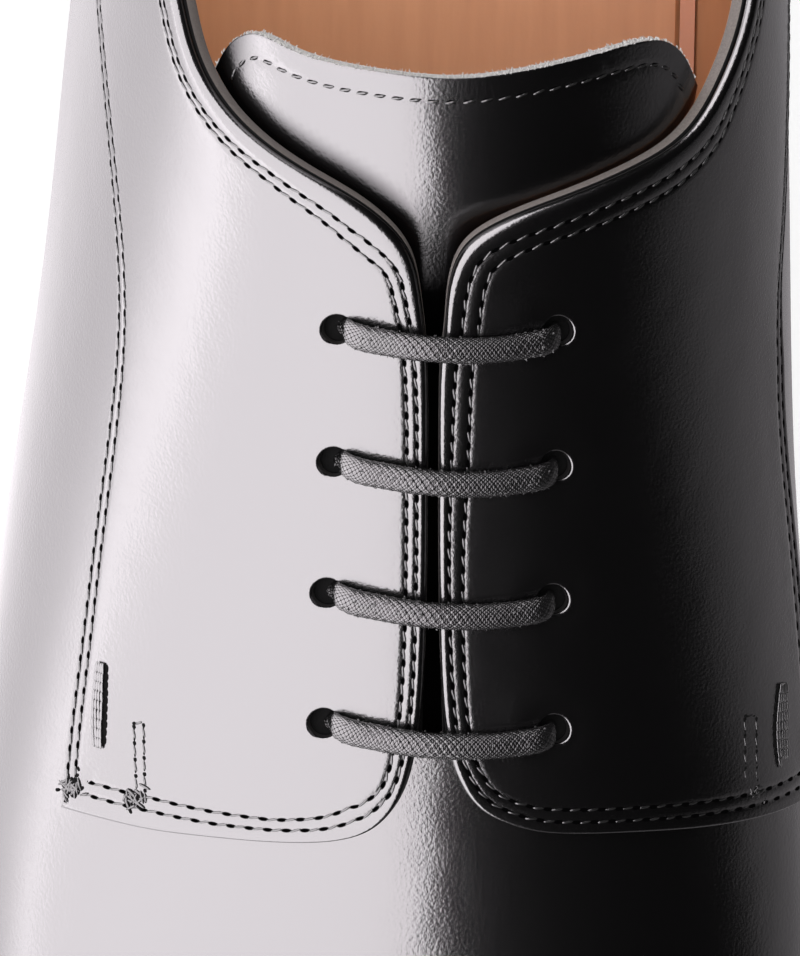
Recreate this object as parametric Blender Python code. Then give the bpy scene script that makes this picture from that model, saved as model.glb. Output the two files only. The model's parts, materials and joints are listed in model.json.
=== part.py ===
"""A plain derby shoe for the right foot, as eight separate pieces.

The shape of the last is one function, built from a short table of sections. The upper, the
tongue, the insole and the lace are all laid out on it. Tables are in millimetres. Y runs from
the toe (minus) to the heel (plus), X from the outer side (minus) to the inner side (plus), and
Z is up from the floor.
"""

import bpy
import numpy as np
from mathutils import Vector
from mathutils.geometry import delaunay_2d_cdt

MM = 0.001

# Thicknesses and gaps
UPPER_WALL = 1.8
QUARTER_STEP = 1.2
TONGUE_THICK = 1.8
INSOLE_RISE = 2.6
WELT_THICK = 3.0
OUTSOLE_THICK = 5.3
TOP_PIECE_THICK = 6.0
SEAT_GAP = 0.3
HEEL_BREAST = 72.0

# Lace and eyelets
LACE_WIDE = 3.2
LACE_THICK = 1.6
LACE_IN_HOLE = 2.2
HOLE_WIDE = 3.0
LACE_RUN_THICK = 1.4

# The last, a row for each section across the shoe
SECTION_COLUMNS = (
    "y", "ridge_x", "ridge_z", "crown", "lat_wide", "med_wide", "wide_z",
    "lat_side", "med_side", "lat_foot", "med_foot", "lat_sole", "med_sole",
)
SECTIONS = (
    (-112, 2.4, 44.0, 48, -35.5, 36.5, 27.0, 0.52, 0.52, -33.5, 34.5, -38.6, 39.6),
    (-95, 3.2, 48.3, 46, -41.0, 42.2, 26.5, 0.52, 0.54, -39.0, 40.0, -44.4, 45.4),
    (-75, 3.9, 53.8, 42, -45.3, 46.8, 26.0, 0.50, 0.55, -43.0, 44.3, -48.8, 50.0),
    (-55, 4.2, 60.5, 37, -47.2, 48.6, 27.0, 0.50, 0.56, -44.3, 45.3, -50.2, 51.0),
    (-35, 3.7, 69.6, 32, -46.6, 48.0, 30.0, 0.50, 0.58, -42.0, 43.0, -47.6, 48.3),
    (-20, 3.35, 77.8, 29.5, -44.5, 46.6, 34.0, 0.48, 0.60, -38.6, 40.0, -43.8, 45.0),
    (-1, 2.87, 89.0, 27, -41.8, 44.9, 39.0, 0.46, 0.62, -34.5, 37.0, -38.8, 41.0),
    (22.7, 2.25, 103.3, 25, -38.4, 44.0, 44.0, 0.44, 0.66, -30.8, 35.3, -34.4, 39.0),
    (49.5, 1.8, 118.0, 24, -35.75, 42.96, 49.0, 0.44, 0.70, -28.7, 35.0, -31.8, 38.3),
    (75, 2.8, 128.0, 24, -32.8, 40.6, 53.0, 0.56, 0.68, -28.2, 35.2, -31.0, 38.0),
    (100, 3.6, 132.0, 26, -30.2, 37.6, 56.0, 0.62, 0.66, -27.2, 34.2, -30.0, 37.2),
)
TOE_POLE = SECTIONS[0][0]
HEEL_POLE = SECTIONS[-1][0]

# How each end closes beyond its last section: reach of each outline, roundness, and the rib there
END_COLUMNS = ("foot", "wide", "sole", "round", "wide_z", "side", "crown", "spread")
TOE_END = (34.5, 36.6, 40.3, 2.25, 27.0, 0.66, 44.0, 0.55)
HEEL_END = (45.5, 48.8, 48.6, 2.4, 58.0, 0.70, 30.0, 0.75)

# Height of the tread along the shoe; it rests flat on the floor where this falls below zero
TREAD = (
    (-153, 9.6), (-135, 5.6), (-115, 2.3), (-95, 0.5), (-78, -0.25), (-55, -0.25), (-38, 0.6),
    (-15, 3.6), (5, 8.0), (30, 14.5), (55, 20.8), (75, 24.2), (100, 25.6), (150, 26.2),
)

# The pattern, in girth from the ridge and station along it
GIRTH = 95.0
WIDE_SHARE = 0.70


def spline(rows):
    """A smooth curve through (x, y) rows, straight on past its ends."""
    x, y = (np.array(column, float) for column in zip(*rows))
    h = np.diff(x)
    slope = np.diff(y) / h
    n = len(x)
    matrix = np.eye(n)
    right = np.zeros(n)
    for i in range(1, n - 1):
        matrix[i, i - 1 : i + 2] = h[i - 1], 2 * (h[i - 1] + h[i]), h[i]
        right[i] = 6 * (slope[i] - slope[i - 1])
    bend = np.linalg.solve(matrix, right)

    def at(q):
        q = np.asarray(q, float)
        k = np.clip(np.searchsorted(x, q) - 1, 0, n - 2)
        inside = np.clip(q, x[0], x[-1])
        a, b, w = x[k + 1] - inside, inside - x[k], h[k]
        value = bend[k] * a**3 / (6 * w) + bend[k + 1] * b**3 / (6 * w)
        value += (y[k] / w - bend[k] * w / 6) * a + (y[k + 1] / w - bend[k + 1] * w / 6) * b
        start = slope[0] - h[0] * (2 * bend[0] + bend[1]) / 6
        end = slope[-1] + h[-1] * (bend[-2] + 2 * bend[-1]) / 6
        return value + start * np.minimum(q - x[0], 0) + end * np.maximum(q - x[-1], 0)

    return at


SECTION = {
    name: spline([(row[0], row[i]) for row in SECTIONS])
    for i, name in enumerate(SECTION_COLUMNS)
    if i
}
TOE = dict(zip(END_COLUMNS, TOE_END))
HEEL = dict(zip(END_COLUMNS, HEEL_END))
TREAD_LINE = spline(TREAD)


def tread(y):
    return np.maximum(TREAD_LINE(y), 0.0)


def outsole_top(y):
    return tread(y) + OUTSOLE_THICK


def welt_top(y):
    return outsole_top(y) + SEAT_GAP + WELT_THICK


def feather(y):
    return welt_top(y) + SEAT_GAP


def closure(across, along, roundness):
    """Point on a unit superellipse in the direction (across, along)."""
    size = (across**roundness + along**roundness) ** (1 / roundness)
    return across / size, along / size


def ends(y):
    """For each station: its section, how far it lies past a pole, and that end's values."""
    toe, heel = y < TOE_POLE, y > HEEL_POLE
    section = np.clip(y, TOE_POLE, HEEL_POLE)
    end = {key: np.where(toe, TOE[key], HEEL[key]) for key in TOE}
    sign = np.where(toe, -1.0, 1.0)
    past = np.where(toe | heel, np.abs(y - section) / end["spread"], 0.0)
    return section, past, sign, end


def outline_point(name, section, side, across, along, sign, end, grow=0.0):
    """Plan point of the foot, wide or sole outline, in the given direction from the pole."""
    c, s = closure(across, along, end["round"])
    y = section + sign * (end[name] + grow) * s
    step = 0.5
    edge = []
    for key in ("lat_" + name, "med_" + name):
        at = SECTION[key](section)
        inward = np.where(sign < 0, 1.0, -1.0) * step
        lean = (SECTION[key](section + inward) - at) / inward
        edge.append(at + lean * (y - section))
    middle = (edge[0] + edge[1]) / 2
    half = (edge[1] - edge[0]) / 2 + grow
    return middle + side * half * c, y


def bezier(points, t):
    t = t[:, None]
    a, b, c, d = points
    return (1 - t) ** 3 * a + 3 * (1 - t) ** 2 * t * b + 3 * (1 - t) * t**2 * c + t**3 * d


def last_surface(girth, along):
    """The outer face of the vamp leather, in millimetres, at pattern points (girth, along)."""
    girth, along = np.atleast_1d(girth).astype(float), np.atleast_1d(along).astype(float)
    section, past, sign, end = ends(along)
    reach = np.hypot(girth, past)
    safe = np.maximum(reach, 1e-9)
    across, onward = np.where(reach > 1e-9, np.abs(girth) / safe, 1.0), past / safe
    side = np.where(girth < 0, -1.0, 1.0)
    share = reach / GIRTH
    value = {key: at(section) for key, at in SECTION.items()}
    turn = onward**2
    side_pull = np.where(side < 0, value["lat_side"], value["med_side"])
    side_pull = side_pull * (1 - turn) + end["side"] * turn
    wide_z = value["wide_z"] * (1 - turn) + end["wide_z"] * turn
    crown = value["crown"] * (1 - turn) + end["crown"] * turn

    wide_x, wide_y = outline_point("wide", section, side, across, onward, sign, end)
    foot_x, foot_y = outline_point("foot", section, side, across, onward, sign, end)
    top = np.stack([value["ridge_x"], section, value["ridge_z"]], 1)
    wide = np.stack([wide_x, wide_y, wide_z], 1)
    foot = np.stack([foot_x, foot_y, feather(foot_y)], 1)

    inward = -sign * 0.5
    ridge_slope = (SECTION["ridge_z"](section + inward) - value["ridge_z"]) / inward
    heading = wide - top
    heading[:, 2] = 0
    heading /= np.maximum(np.linalg.norm(heading, axis=1), 1e-9)[:, None]
    heading[:, 2] = ridge_slope * heading[:, 1]
    heading /= np.linalg.norm(heading, axis=1)[:, None]
    shoulder = wide + np.outer(side_pull * (top[:, 2] - wide[:, 2]), (0, 0, 1))
    drop = np.linalg.norm(np.cross(shoulder - top, heading), axis=1)
    handle = np.sqrt(2 / 3 * drop * crown)
    over = (top, top + handle[:, None] * heading, shoulder, wide)

    fall = wide[:, 2] - foot[:, 2]
    hip = wide - np.outer(0.5 * fall, (0, 0, 1))
    tuck = foot + (wide - foot) * (0.6, 0.6, 0.32)
    under = (wide, hip, tuck, foot)

    t_over = np.clip(share / WIDE_SHARE, 0, 1)
    t_under = np.clip((share - WIDE_SHARE) / (1 - WIDE_SHARE), 0, 1)
    return np.where((share <= WIDE_SHARE)[:, None], bezier(over, t_over), bezier(under, t_under))


def last_normal(girth, along, step=0.05):
    girth, along = np.atleast_1d(girth).astype(float), np.atleast_1d(along).astype(float)
    reach = np.abs(girth)
    inner = np.clip(girth, -(GIRTH - 2 * step), GIRTH - 2 * step)
    girth = np.where(reach > GIRTH - 2 * step, inner, girth)
    over = last_surface(girth + step, along) - last_surface(girth - step, along)
    onward = last_surface(girth, along + step) - last_surface(girth, along - step)
    normal = np.cross(over, onward)
    return normal / np.maximum(np.linalg.norm(normal, axis=1), 1e-12)[:, None]


def on_last(girth, along, lift=0.0):
    """Points lifted off the vamp leather's outer face by so many millimetres."""
    girth, along = np.atleast_1d(girth).astype(float), np.atleast_1d(along).astype(float)
    lift = np.broadcast_to(np.asarray(lift, float), girth.shape)
    return last_surface(girth, along) + last_normal(girth, along) * lift[:, None]


# Lines of the pattern, each a row of girth from the ridge and station along it
COLLAR_LAT = (
    (-0.65, -30.5), (-0.60, -12.0), (-0.62, 1.5), (-1.25, 9.0), (-2.45, 14.8), (-5.6, 19.1),
    (-13.3, 24.0), (-22.1, 30.4), (-27.4, 37.3), (-30.3, 44.5), (-34.2, 53.0), (-42.0, 64.0),
    (-48.5, 78.0), (-51.4, 92.0), (-50.0, 108.0), (-40.5, 122.5), (-25.3, 132.6), (-12.9, 136.2), (0.0, 137.1),
)
COLLAR_MED = (
    (0.95, -30.5), (0.50, -12.0), (0.60, 1.5), (1.20, 9.0), (2.55, 15.6), (7.6, 18.7),
    (15.5, 21.6), (26.0, 25.8), (33.5, 30.2), (39.2, 36.5), (44.2, 45.0), (46.8, 55.0),
    (49.6, 70.0), (51.4, 88.0), (50.4, 106.0), (41.0, 122.0), (25.4, 132.6), (12.9, 136.2), (0.0, 137.1),
)
FRONT_LAT = (
    (-0.4, -29.5), (-1.2, -31.4), (-2.2, -34.5), (-3.0, -37.1), (-4.5, -39.4), (-6.7, -41.7),
    (-9.9, -43.6), (-17.6, -43.9), (-25.4, -42.8), (-35.0, -40.8), (-40.8, -39.0),
)
FRONT_MED = (
    (0.4, -29.5), (1.17, -31.5), (1.7, -34.6), (2.5, -36.6), (3.7, -38.8), (5.9, -40.7),
    (10.5, -42.4), (20.5, -42.8), (33.0, -41.4), (46.0, -38.6), (54.5, -35.6),
)
SEAM_LAT = (
    (-40.8, -39.0), (-39.6, -30.0), (-38.7, -16.0), (-37.6, 0.0), (-37.4, 12.0), (-40.0, 27.0),
    (-45.4, 45.5), (-53.5, 61.0), (-67.0, 74.0), (-82.0, 82.0), (-99.0, 86.0),
)
SEAM_MED = (
    (54.5, -35.6), (53.4, -22.0), (52.3, -9.6), (50.4, 4.0), (50.4, 13.0), (52.2, 24.0),
    (54.4, 40.0), (58.0, 56.0), (68.5, 70.0), (82.5, 78.5), (99.0, 83.0),
)
SLIT_FOOT = -33.0
EYELETS_LAT = ((-10.7, 8.6), (-11.2, -4.7), (-12.0, -18.0), (-12.4, -31.4))
EYELETS_MED = ((15.0, 8.7), (14.7, -4.9), (14.3, -18.5), (14.3, -31.9))
BAR_SAG = 1.3

TONGUE_SIDES = ((-46, -11, 12), (-30, -18, 19), (0, -22, 26), (20, -25, 32), (39, -28, 38))
TONGUE_TOP = (
    (-28.0, 34.2), (-24.7, 38.0), (-22.0, 38.4), (-17.7, 36.6), (-7.6, 33.3), (1.0, 32.3),
    (12.0, 33.4), (23.2, 36.3), (29.5, 38.2), (32.5, 38.6), (35.4, 37.8), (38.0, 35.0),
)
TONGUE_FRONT = -46.0
TONGUE_REST = 2.1
TONGUE_DIP = 1.8

GRID = 6.0
LINE_STEP = 3.6


def smooth_line(rows, step=LINE_STEP):
    """Points at an even spacing along a smooth curve through the rows."""
    rows = np.array(rows, float)
    run = np.concatenate([[0], np.cumsum(np.linalg.norm(np.diff(rows, axis=0), axis=1))])
    curves = [spline(list(zip(run, column))) for column in rows.T]
    fine = np.linspace(0, run[-1], 400)
    points = np.stack([curve(fine) for curve in curves], 1)
    length = np.concatenate([[0], np.cumsum(np.linalg.norm(np.diff(points, axis=0), axis=1))])
    count = max(2, int(np.ceil(length[-1] / step)))
    at = np.interp(np.linspace(0, length[-1], count + 1), length, fine)
    return np.stack([curve(at) for curve in curves], 1)


def collar_loop():
    """The top line and the slit between the facings, as one closed line."""
    lateral = smooth_line(COLLAR_LAT)
    medial = smooth_line(COLLAR_MED)[::-1]
    foot = np.array([(0.8, SLIT_FOOT + 0.4), (0.1, SLIT_FOOT), (-0.5, SLIT_FOOT + 0.4)])
    return np.concatenate([lateral[:-1], medial, foot])


def foot_loop(step=5.0):
    """The edge of the pattern, where the upper meets the welt."""
    straight = np.arange(TOE_POLE, HEEL_POLE, step)
    turn = np.linspace(0, np.pi, 29)
    lateral = np.stack([np.full(len(straight), -GIRTH), straight], 1)
    medial = np.stack([np.full(len(straight), GIRTH), straight[::-1]], 1)
    heel = np.stack([-GIRTH * np.cos(turn), HEEL_POLE + GIRTH * HEEL["spread"] * np.sin(turn)], 1)
    toe = np.stack([GIRTH * np.cos(turn), TOE_POLE - GIRTH * TOE["spread"] * np.sin(turn)], 1)
    return np.concatenate([lateral, heel, medial[:-1], toe[:-1]])


def eyelet_loops(sides=10):
    """A round hole through the facing at each eyelet."""
    loops = []
    turn = np.linspace(0, 2 * np.pi, sides, endpoint=False)
    for girth, along in EYELETS_LAT + EYELETS_MED:
        here = on_last(girth, along)[0]
        across = on_last(girth + 0.1, along)[0] - here
        onward = on_last(girth, along + 0.1)[0] - here
        stretch = np.linalg.norm(across) * 10, np.linalg.norm(onward) * 10
        radius = HOLE_WIDE / 2
        loops.append(
            np.stack([girth + radius / stretch[0] * np.cos(turn), along + radius / stretch[1] * np.sin(turn)], 1)
        )
    return loops


def inside(points, loop):
    """Which points lie inside a closed line, by counting crossings."""
    x, y = points[:, 0, None], points[:, 1, None]
    ax, ay = loop[:, 0], loop[:, 1]
    bx, by = np.roll(ax, -1), np.roll(ay, -1)
    crosses = (ay > y) != (by > y)
    rise = np.where(by == ay, 1.0, by - ay)
    left = x < (bx - ax) * (y - ay) / rise + ax
    return (crosses & left).sum(1) % 2 == 1


def vamp_loop(lateral, medial):
    """The part of the pattern in front of both quarters."""
    toe_side = np.array([(200.0, -300.0), (-200.0, -300.0)])
    return np.concatenate([lateral, toe_side[::-1], medial[::-1]])


def quarter_line(front, seam):
    return np.concatenate([smooth_line(front, 2.4)[:-1], smooth_line(seam)])


def triangulate(loops, lines, step):
    """Triangles over the pattern that keep every loop and line as edges."""
    points, edges = [], []
    for chain, closed in [(loop, True) for loop in loops] + [(line, False) for line in lines]:
        first = len(points)
        points.extend(chain)
        edges.extend((first + i, first + i + 1) for i in range(len(chain) - 1))
        if closed:
            edges.append((first + len(chain) - 1, first))
    fixed = np.array(points)
    across = np.arange(-GIRTH + step / 2, GIRTH, step)
    onward = np.arange(TOE_POLE - 60, HEEL_POLE + 80, step)
    field = np.stack(np.meshgrid(across, onward), -1).reshape(-1, 2)
    far = np.min(np.linalg.norm(field[:, None] - fixed[None], axis=2), axis=1) > 0.62 * step
    points.extend(field[far & inside(field, loops[0])])
    mesh = delaunay_2d_cdt([Vector(p) for p in points], edges, [], 0, 1e-4)
    return np.array(mesh[0]), [tuple(face) for face in mesh[2]]


def upper_shell():
    """Vertices and faces of the upper: outer face, inner face, and the edges that join them."""
    collar, foot = collar_loop(), foot_loop()
    holes = eyelet_loops()
    lateral, medial = quarter_line(FRONT_LAT, SEAM_LAT), quarter_line(FRONT_MED, SEAM_MED)
    flat, faces = triangulate([foot, collar] + holes, [lateral, medial], GRID)
    middles = np.array([flat[list(face)].mean(0) for face in faces])
    keep = inside(middles, foot) & ~inside(middles, collar)
    for hole in holes:
        keep &= ~inside(middles, hole)
    on_vamp = inside(middles, vamp_loop(lateral, medial))

    inner = on_last(flat[:, 0], flat[:, 1], -UPPER_WALL)
    low = on_last(flat[:, 0], flat[:, 1])
    high = on_last(flat[:, 0], flat[:, 1], QUARTER_STEP)
    section, past, _, _ = ends(flat[:, 1])
    rim = np.hypot(flat[:, 0], past) > GIRTH - 0.6
    inner[rim, 2] = low[rim, 2]
    high[rim, 2] = low[rim, 2]

    vertices, index = [], {}

    def vertex(layer, i):
        key = (layer, i)
        if key not in index:
            index[key] = len(vertices)
            vertices.append({"low": low, "high": high, "inner": inner}[layer][i])
        return index[key]

    sides, solid = {}, []
    for face, kept, vamp in zip(faces, keep, on_vamp):
        if not kept:
            continue
        layer = "low" if vamp else "high"
        solid.append(tuple(vertex(layer, i) for i in face))
        solid.append(tuple(vertex("inner", i) for i in reversed(face)))
        for k in range(3):
            sides.setdefault(frozenset((face[k], face[k - 2])), []).append((face[k], face[k - 2], layer))
    steps = {i for pair, uses in sides.items() if len({use[2] for use in uses}) == 2 for i in pair}
    for uses in sides.values():
        if len({use[2] for use in uses}) == 2:
            a, b, _ = next(use for use in uses if use[2] == "high")
            solid.append((vertex("high", b), vertex("high", a), vertex("low", a), vertex("low", b)))
        elif len(uses) == 1:
            a, b, layer = uses[0]
            ring = [vertex(layer, b), vertex(layer, a)]
            ring += [vertex("low", a)] if layer == "high" and a in steps else []
            ring += [vertex("inner", a), vertex("inner", b)]
            ring += [vertex("low", b)] if layer == "high" and b in steps else []
            solid.append(tuple(ring))
    return vertices, solid


def stations(first=None, gap=8.0, turns=9):
    """Stations round the shoe: section, and the direction across and onward at each end."""
    rows = []
    bend = np.linspace(0, np.pi / 2, turns)
    if first is None:
        rows += [(TOE_POLE, np.cos(a), np.sin(a), -1.0) for a in bend[:0:-1]]
    start = TOE_POLE if first is None else first
    count = int(np.ceil((HEEL_POLE - start) / gap))
    rows += [(y, 1.0, 0.0, 1.0) for y in np.linspace(start, HEEL_POLE, count + 1)[:-1]]
    rows += [(HEEL_POLE, np.cos(a), np.sin(a), 1.0) for a in bend]
    return np.array(rows)


def layer_piece(profile, rows, ring=False):
    """A flat layer of the sole, its edge a profile of (outline, growth, height at y) points."""
    section, across, onward, sign = rows.T
    across = np.maximum(across, 0.0)
    end = {key: np.where(sign < 0, TOE[key], HEEL[key]) for key in TOE}
    vertices = []
    for side in (-1.0, 1.0):
        for name, grow, height in profile:
            x, y = outline_point(name, section, side, across, onward, sign, end, grow)
            vertices.extend(np.stack([x, y, height(y)], 1))
    many, deep = len(rows), len(profile)

    def at(side, k, i):
        return (side * deep + k % deep) * many + i

    faces = []
    for i in range(many - 1):
        for k in range(deep if ring else deep - 1):
            faces.append((at(0, k, i), at(0, k + 1, i), at(0, k + 1, i + 1), at(0, k, i + 1)))
            faces.append((at(1, k, i), at(1, k, i + 1), at(1, k + 1, i + 1), at(1, k + 1, i)))
        if not ring:
            last = deep - 1
            faces.append((at(0, 0, i), at(0, 0, i + 1), at(1, 0, i + 1), at(1, 0, i)))
            faces.append((at(0, last, i), at(1, last, i), at(1, last, i + 1), at(0, last, i + 1)))
    if across[0] > 0.5:
        faces.append(tuple(at(0, k, 0) for k in range(deep)) + tuple(at(1, k, 0) for k in reversed(range(deep))))
    return vertices, faces


def tongue_rest(along):
    """How far the tongue lies below the vamp leather's outer face, with room for the lace."""
    enter = np.clip((along + 46) / 9, 0, 1)
    leave = np.clip((21 - along) / 9, 0, 1)
    room = np.minimum(enter, leave)
    return TONGUE_REST + TONGUE_DIP * room * room * (3 - 2 * room)


def tongue_sheet(across=16, onward=18):
    """Top and bottom faces of the tongue, joined round its edge."""
    lat = spline([(row[0], row[1]) for row in TONGUE_SIDES])
    med = spline([(row[0], row[2]) for row in TONGUE_SIDES])
    top = spline(TONGUE_TOP)
    u, v = np.meshgrid(np.linspace(0, 1, across + 1), np.linspace(0, 1, onward + 1))
    along = TONGUE_FRONT + (38.0 - TONGUE_FRONT) * v
    for _ in range(3):
        girth = lat(along) + (med(along) - lat(along)) * u
        along = TONGUE_FRONT + (top(girth) - TONGUE_FRONT) * v
    girth, along = girth.ravel(), along.ravel()
    rest = tongue_rest(along)
    outer = on_last(girth, along, -rest)
    inner = on_last(girth, along, -rest - TONGUE_THICK)
    many, wide = (across + 1) * (onward + 1), across + 1
    faces = []
    for j in range(onward):
        for i in range(across):
            a = j * wide + i
            b, c, d = a + 1, a + wide + 1, a + wide
            faces.append((a, b, c, d))
            faces.append((d + many, c + many, b + many, a + many))
    edge = [i for i in range(wide)]
    edge += [j * wide + across for j in range(1, onward + 1)]
    edge += [onward * wide + i for i in range(across - 1, -1, -1)]
    edge += [j * wide for j in range(onward - 1, 0, -1)]
    for a, b in zip(edge, edge[1:] + edge[:1]):
        faces.append((b, a, a + many, b + many))
    return np.concatenate([outer, inner]), faces


def lace_route():
    """Rings of the lace: girth, station, lift, width, thickness and how far it has turned."""
    run_lift = -(UPPER_WALL + SEAT_GAP + LACE_RUN_THICK / 2)
    bar_lift = QUARTER_STEP + SEAT_GAP + LACE_THICK / 2 + 0.05
    round_in = (LACE_IN_HOLE, LACE_IN_HOLE)
    rings = []

    def bar(start, finish):
        (g0, a0), (g1, a1) = start, finish
        to = np.sign(g1 - g0)
        rings.append((g0, a0, -0.6, *round_in, 0.5))
        rings.append((g0, a0, 0.5, *round_in, 0.0))
        rings.append((g0 + to * 0.4, a0, 1.65, 2.4, 1.7, 0.0))
        for u in np.linspace(0.055, 0.945, 11):
            sag = BAR_SAG * 4 * u * (1 - u)
            rings.append((g0 + (g1 - g0) * u, a0 + (a1 - a0) * u - sag, bar_lift, LACE_WIDE, LACE_THICK, 0.0))
        rings.append((g1 - to * 0.4, a1, 1.65, 2.4, 1.7, 0.0))
        rings.append((g1, a1, 0.5, *round_in, 0.0))
        rings.append((g1, a1, -0.6, *round_in, -0.5))

    def run(start, finish, aside=0.0):
        (g0, a0), (g1, a1) = start, finish
        to = np.sign(a1 - a0)
        rings.append((g0, a0 + to * 0.1, -1.7, *round_in, 1.0))
        rings.append((g0 + aside * 0.15, a0 + to * 0.8, run_lift + 0.3, 2.2, LACE_RUN_THICK, 1.0))
        for u in (0.18, 0.4, 0.6, 0.82):
            ease = min(1.0, 2.5 * u)
            rings.append(
                (g0 + (g1 - g0) * u + aside * ease, a0 + (a1 - a0) * u, run_lift, 2.4, LACE_RUN_THICK, 1.0)
            )
        if aside == 0.0:
            rings.append((g1, a1 - to * 0.8, run_lift + 0.3, 2.2, LACE_RUN_THICK, 1.0))
            rings.append((g1, a1 - to * 0.1, -1.7, *round_in, 1.0))

    left, right = EYELETS_LAT, EYELETS_MED
    rings.append((left[0][0], left[0][1], -2.0, *round_in, 1.0))
    bar(left[0], right[0])
    run(right[0], right[1])
    bar(right[1], left[1])
    run(left[1], left[2])
    bar(left[2], right[2])
    run(right[2], right[3])
    bar(right[3], left[3])
    run(left[3], left[0], aside=-4.2)
    return np.array(rings)


def lace_tube(sides=8):
    """The lace as one closed tube, flat on the bars and round in the holes."""
    girth, along, lift, wide, thick, turned = lace_route().T
    centre = on_last(girth, along, lift)
    normal = last_normal(girth, along)
    onward = on_last(girth, along + 0.2) - on_last(girth, along - 0.2)
    onward /= np.linalg.norm(onward, axis=1)[:, None]
    across = np.cross(onward, normal)
    tangent = np.gradient(centre, axis=0)
    tangent /= np.linalg.norm(tangent, axis=1)[:, None]
    blend = np.abs(turned)[:, None]
    flat = onward * (1 - blend) + across * blend
    flat -= (flat * tangent).sum(1)[:, None] * tangent
    flat /= np.linalg.norm(flat, axis=1)[:, None]
    for i in range(1, len(flat)):
        if flat[i] @ flat[i - 1] < 0:
            flat[i] = -flat[i]
    up = np.cross(tangent, flat)
    turn = np.linspace(0, 2 * np.pi, sides, endpoint=False) + np.pi / sides
    vertices = []
    for c, f, n, w, t in zip(centre, flat, up, wide, thick):
        vertices.extend(c + f * w / 2 * np.cos(a) * 1.04 + n * t / 2 * np.sin(a) * 1.04 for a in turn)
    many = len(centre)
    faces = [
        (i * sides + k, i * sides + (k + 1) % sides, (i + 1) * sides + (k + 1) % sides, (i + 1) * sides + k)
        for i in range(many - 1)
        for k in range(sides)
    ]
    faces.append(tuple(reversed(range(sides))))
    faces.append(tuple((many - 1) * sides + k for k in range(sides)))
    return vertices, faces


def material(name, colour, roughness, metallic=0.0):
    made = bpy.data.materials.new(name)
    made.use_nodes = True
    shader = made.node_tree.nodes["Principled BSDF"]
    shader.inputs["Base Color"].default_value = (*colour, 1.0)
    shader.inputs["Roughness"].default_value = roughness
    shader.inputs["Metallic"].default_value = metallic
    return made


def build(name, shape, surface, smooth_angle=35.0):
    """One named solid from vertices in millimetres, its faces turned to point outwards."""
    vertices, faces = shape
    mesh = bpy.data.meshes.new(name)
    mesh.from_pydata([Vector(v) * MM for v in vertices], [], faces)
    obj = bpy.data.objects.new(name, mesh)
    bpy.context.scene.collection.objects.link(obj)
    mesh.materials.append(surface)
    bpy.ops.object.select_all(action="DESELECT")
    obj.select_set(True)
    bpy.context.view_layer.objects.active = obj
    bpy.ops.object.mode_set(mode="EDIT")
    bpy.ops.mesh.select_all(action="SELECT")
    bpy.ops.mesh.remove_doubles(threshold=0.00001)
    bpy.ops.mesh.dissolve_degenerate(threshold=0.000005)
    bpy.ops.mesh.select_all(action="SELECT")
    bpy.ops.mesh.quads_convert_to_tris()
    bpy.ops.mesh.select_all(action="SELECT")
    bpy.ops.mesh.normals_make_consistent(inside=False)
    bpy.ops.object.mode_set(mode="OBJECT")
    bpy.ops.object.shade_smooth_by_angle(angle=np.radians(smooth_angle))
    return obj


def main():
    for obj in list(bpy.data.objects):
        bpy.data.objects.remove(obj, do_unlink=True)

    calf = material("black_calf", (0.012, 0.012, 0.013), 0.22)
    lining = material("tan_lining", (0.42, 0.24, 0.11), 0.55)
    braid = material("black_braid", (0.03, 0.03, 0.032), 0.85)
    edge = material("black_sole_edge", (0.02, 0.018, 0.017), 0.38)
    welt_leather = material("black_welt", (0.022, 0.02, 0.02), 0.5)
    rubber = material("black_rubber", (0.02, 0.02, 0.02), 0.7)

    build("upper", upper_shell(), calf)
    build("tongue", tongue_sheet(), calf)
    build("lace", lace_tube(), braid, 80.0)

    whole = stations()
    insole_grow = -UPPER_WALL - 0.35
    insole = (
        ("foot", insole_grow - 0.6, lambda y: feather(y) + INSOLE_RISE),
        ("foot", insole_grow, lambda y: feather(y) + INSOLE_RISE - 0.6),
        ("foot", insole_grow, lambda y: outsole_top(y) + SEAT_GAP),
    )
    build("insole", layer_piece(insole, whole), lining)
    welt = (
        ("sole", -1.1, welt_top),
        ("sole", -0.5, lambda y: welt_top(y) - 0.6),
        ("sole", -0.5, lambda y: outsole_top(y) + SEAT_GAP),
        ("foot", -UPPER_WALL, lambda y: outsole_top(y) + SEAT_GAP),
        ("foot", -UPPER_WALL, welt_top),
    )
    build("welt", layer_piece(welt, whole, ring=True), welt_leather)
    outsole = (
        ("sole", -0.6, outsole_top),
        ("sole", 0.0, lambda y: outsole_top(y) - 0.7),
        ("sole", 0.0, lambda y: tread(y) + 1.0),
        ("sole", -1.0, tread),
    )
    build("outsole", layer_piece(outsole, whole), edge)

    back = stations(first=HEEL_BREAST, gap=7.0)
    heel_top = SEAT_GAP
    heel = (
        ("sole", -0.3, lambda y: tread(y) - heel_top),
        ("sole", -1.2, lambda y: 0 * y + TOP_PIECE_THICK + 0.3 * SEAT_GAP + 8.0),
        ("sole", -1.7, lambda y: 0 * y + TOP_PIECE_THICK + SEAT_GAP),
    )
    build("heel", layer_piece(heel, back), edge)
    top_piece = (
        ("sole", -1.7, lambda y: 0 * y + TOP_PIECE_THICK),
        ("sole", -1.9, lambda y: 0 * y + 0.8),
        ("sole", -2.7, lambda y: 0 * y),
    )
    build("top_piece", layer_piece(top_piece, back), rubber)


main()
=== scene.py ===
# %% [markdown]
# A derby is a laced shoe whose two quarters lie on top of the vamp. This lesson dresses the
# plain solids of a right shoe: leather with rounded cut edges, two rows of stitches, a braided
# lace, a lining, and a welted sole. The camera looks down on the instep, as a buyer would.
# The model file gives the solids and their places.

import json
import math

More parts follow.
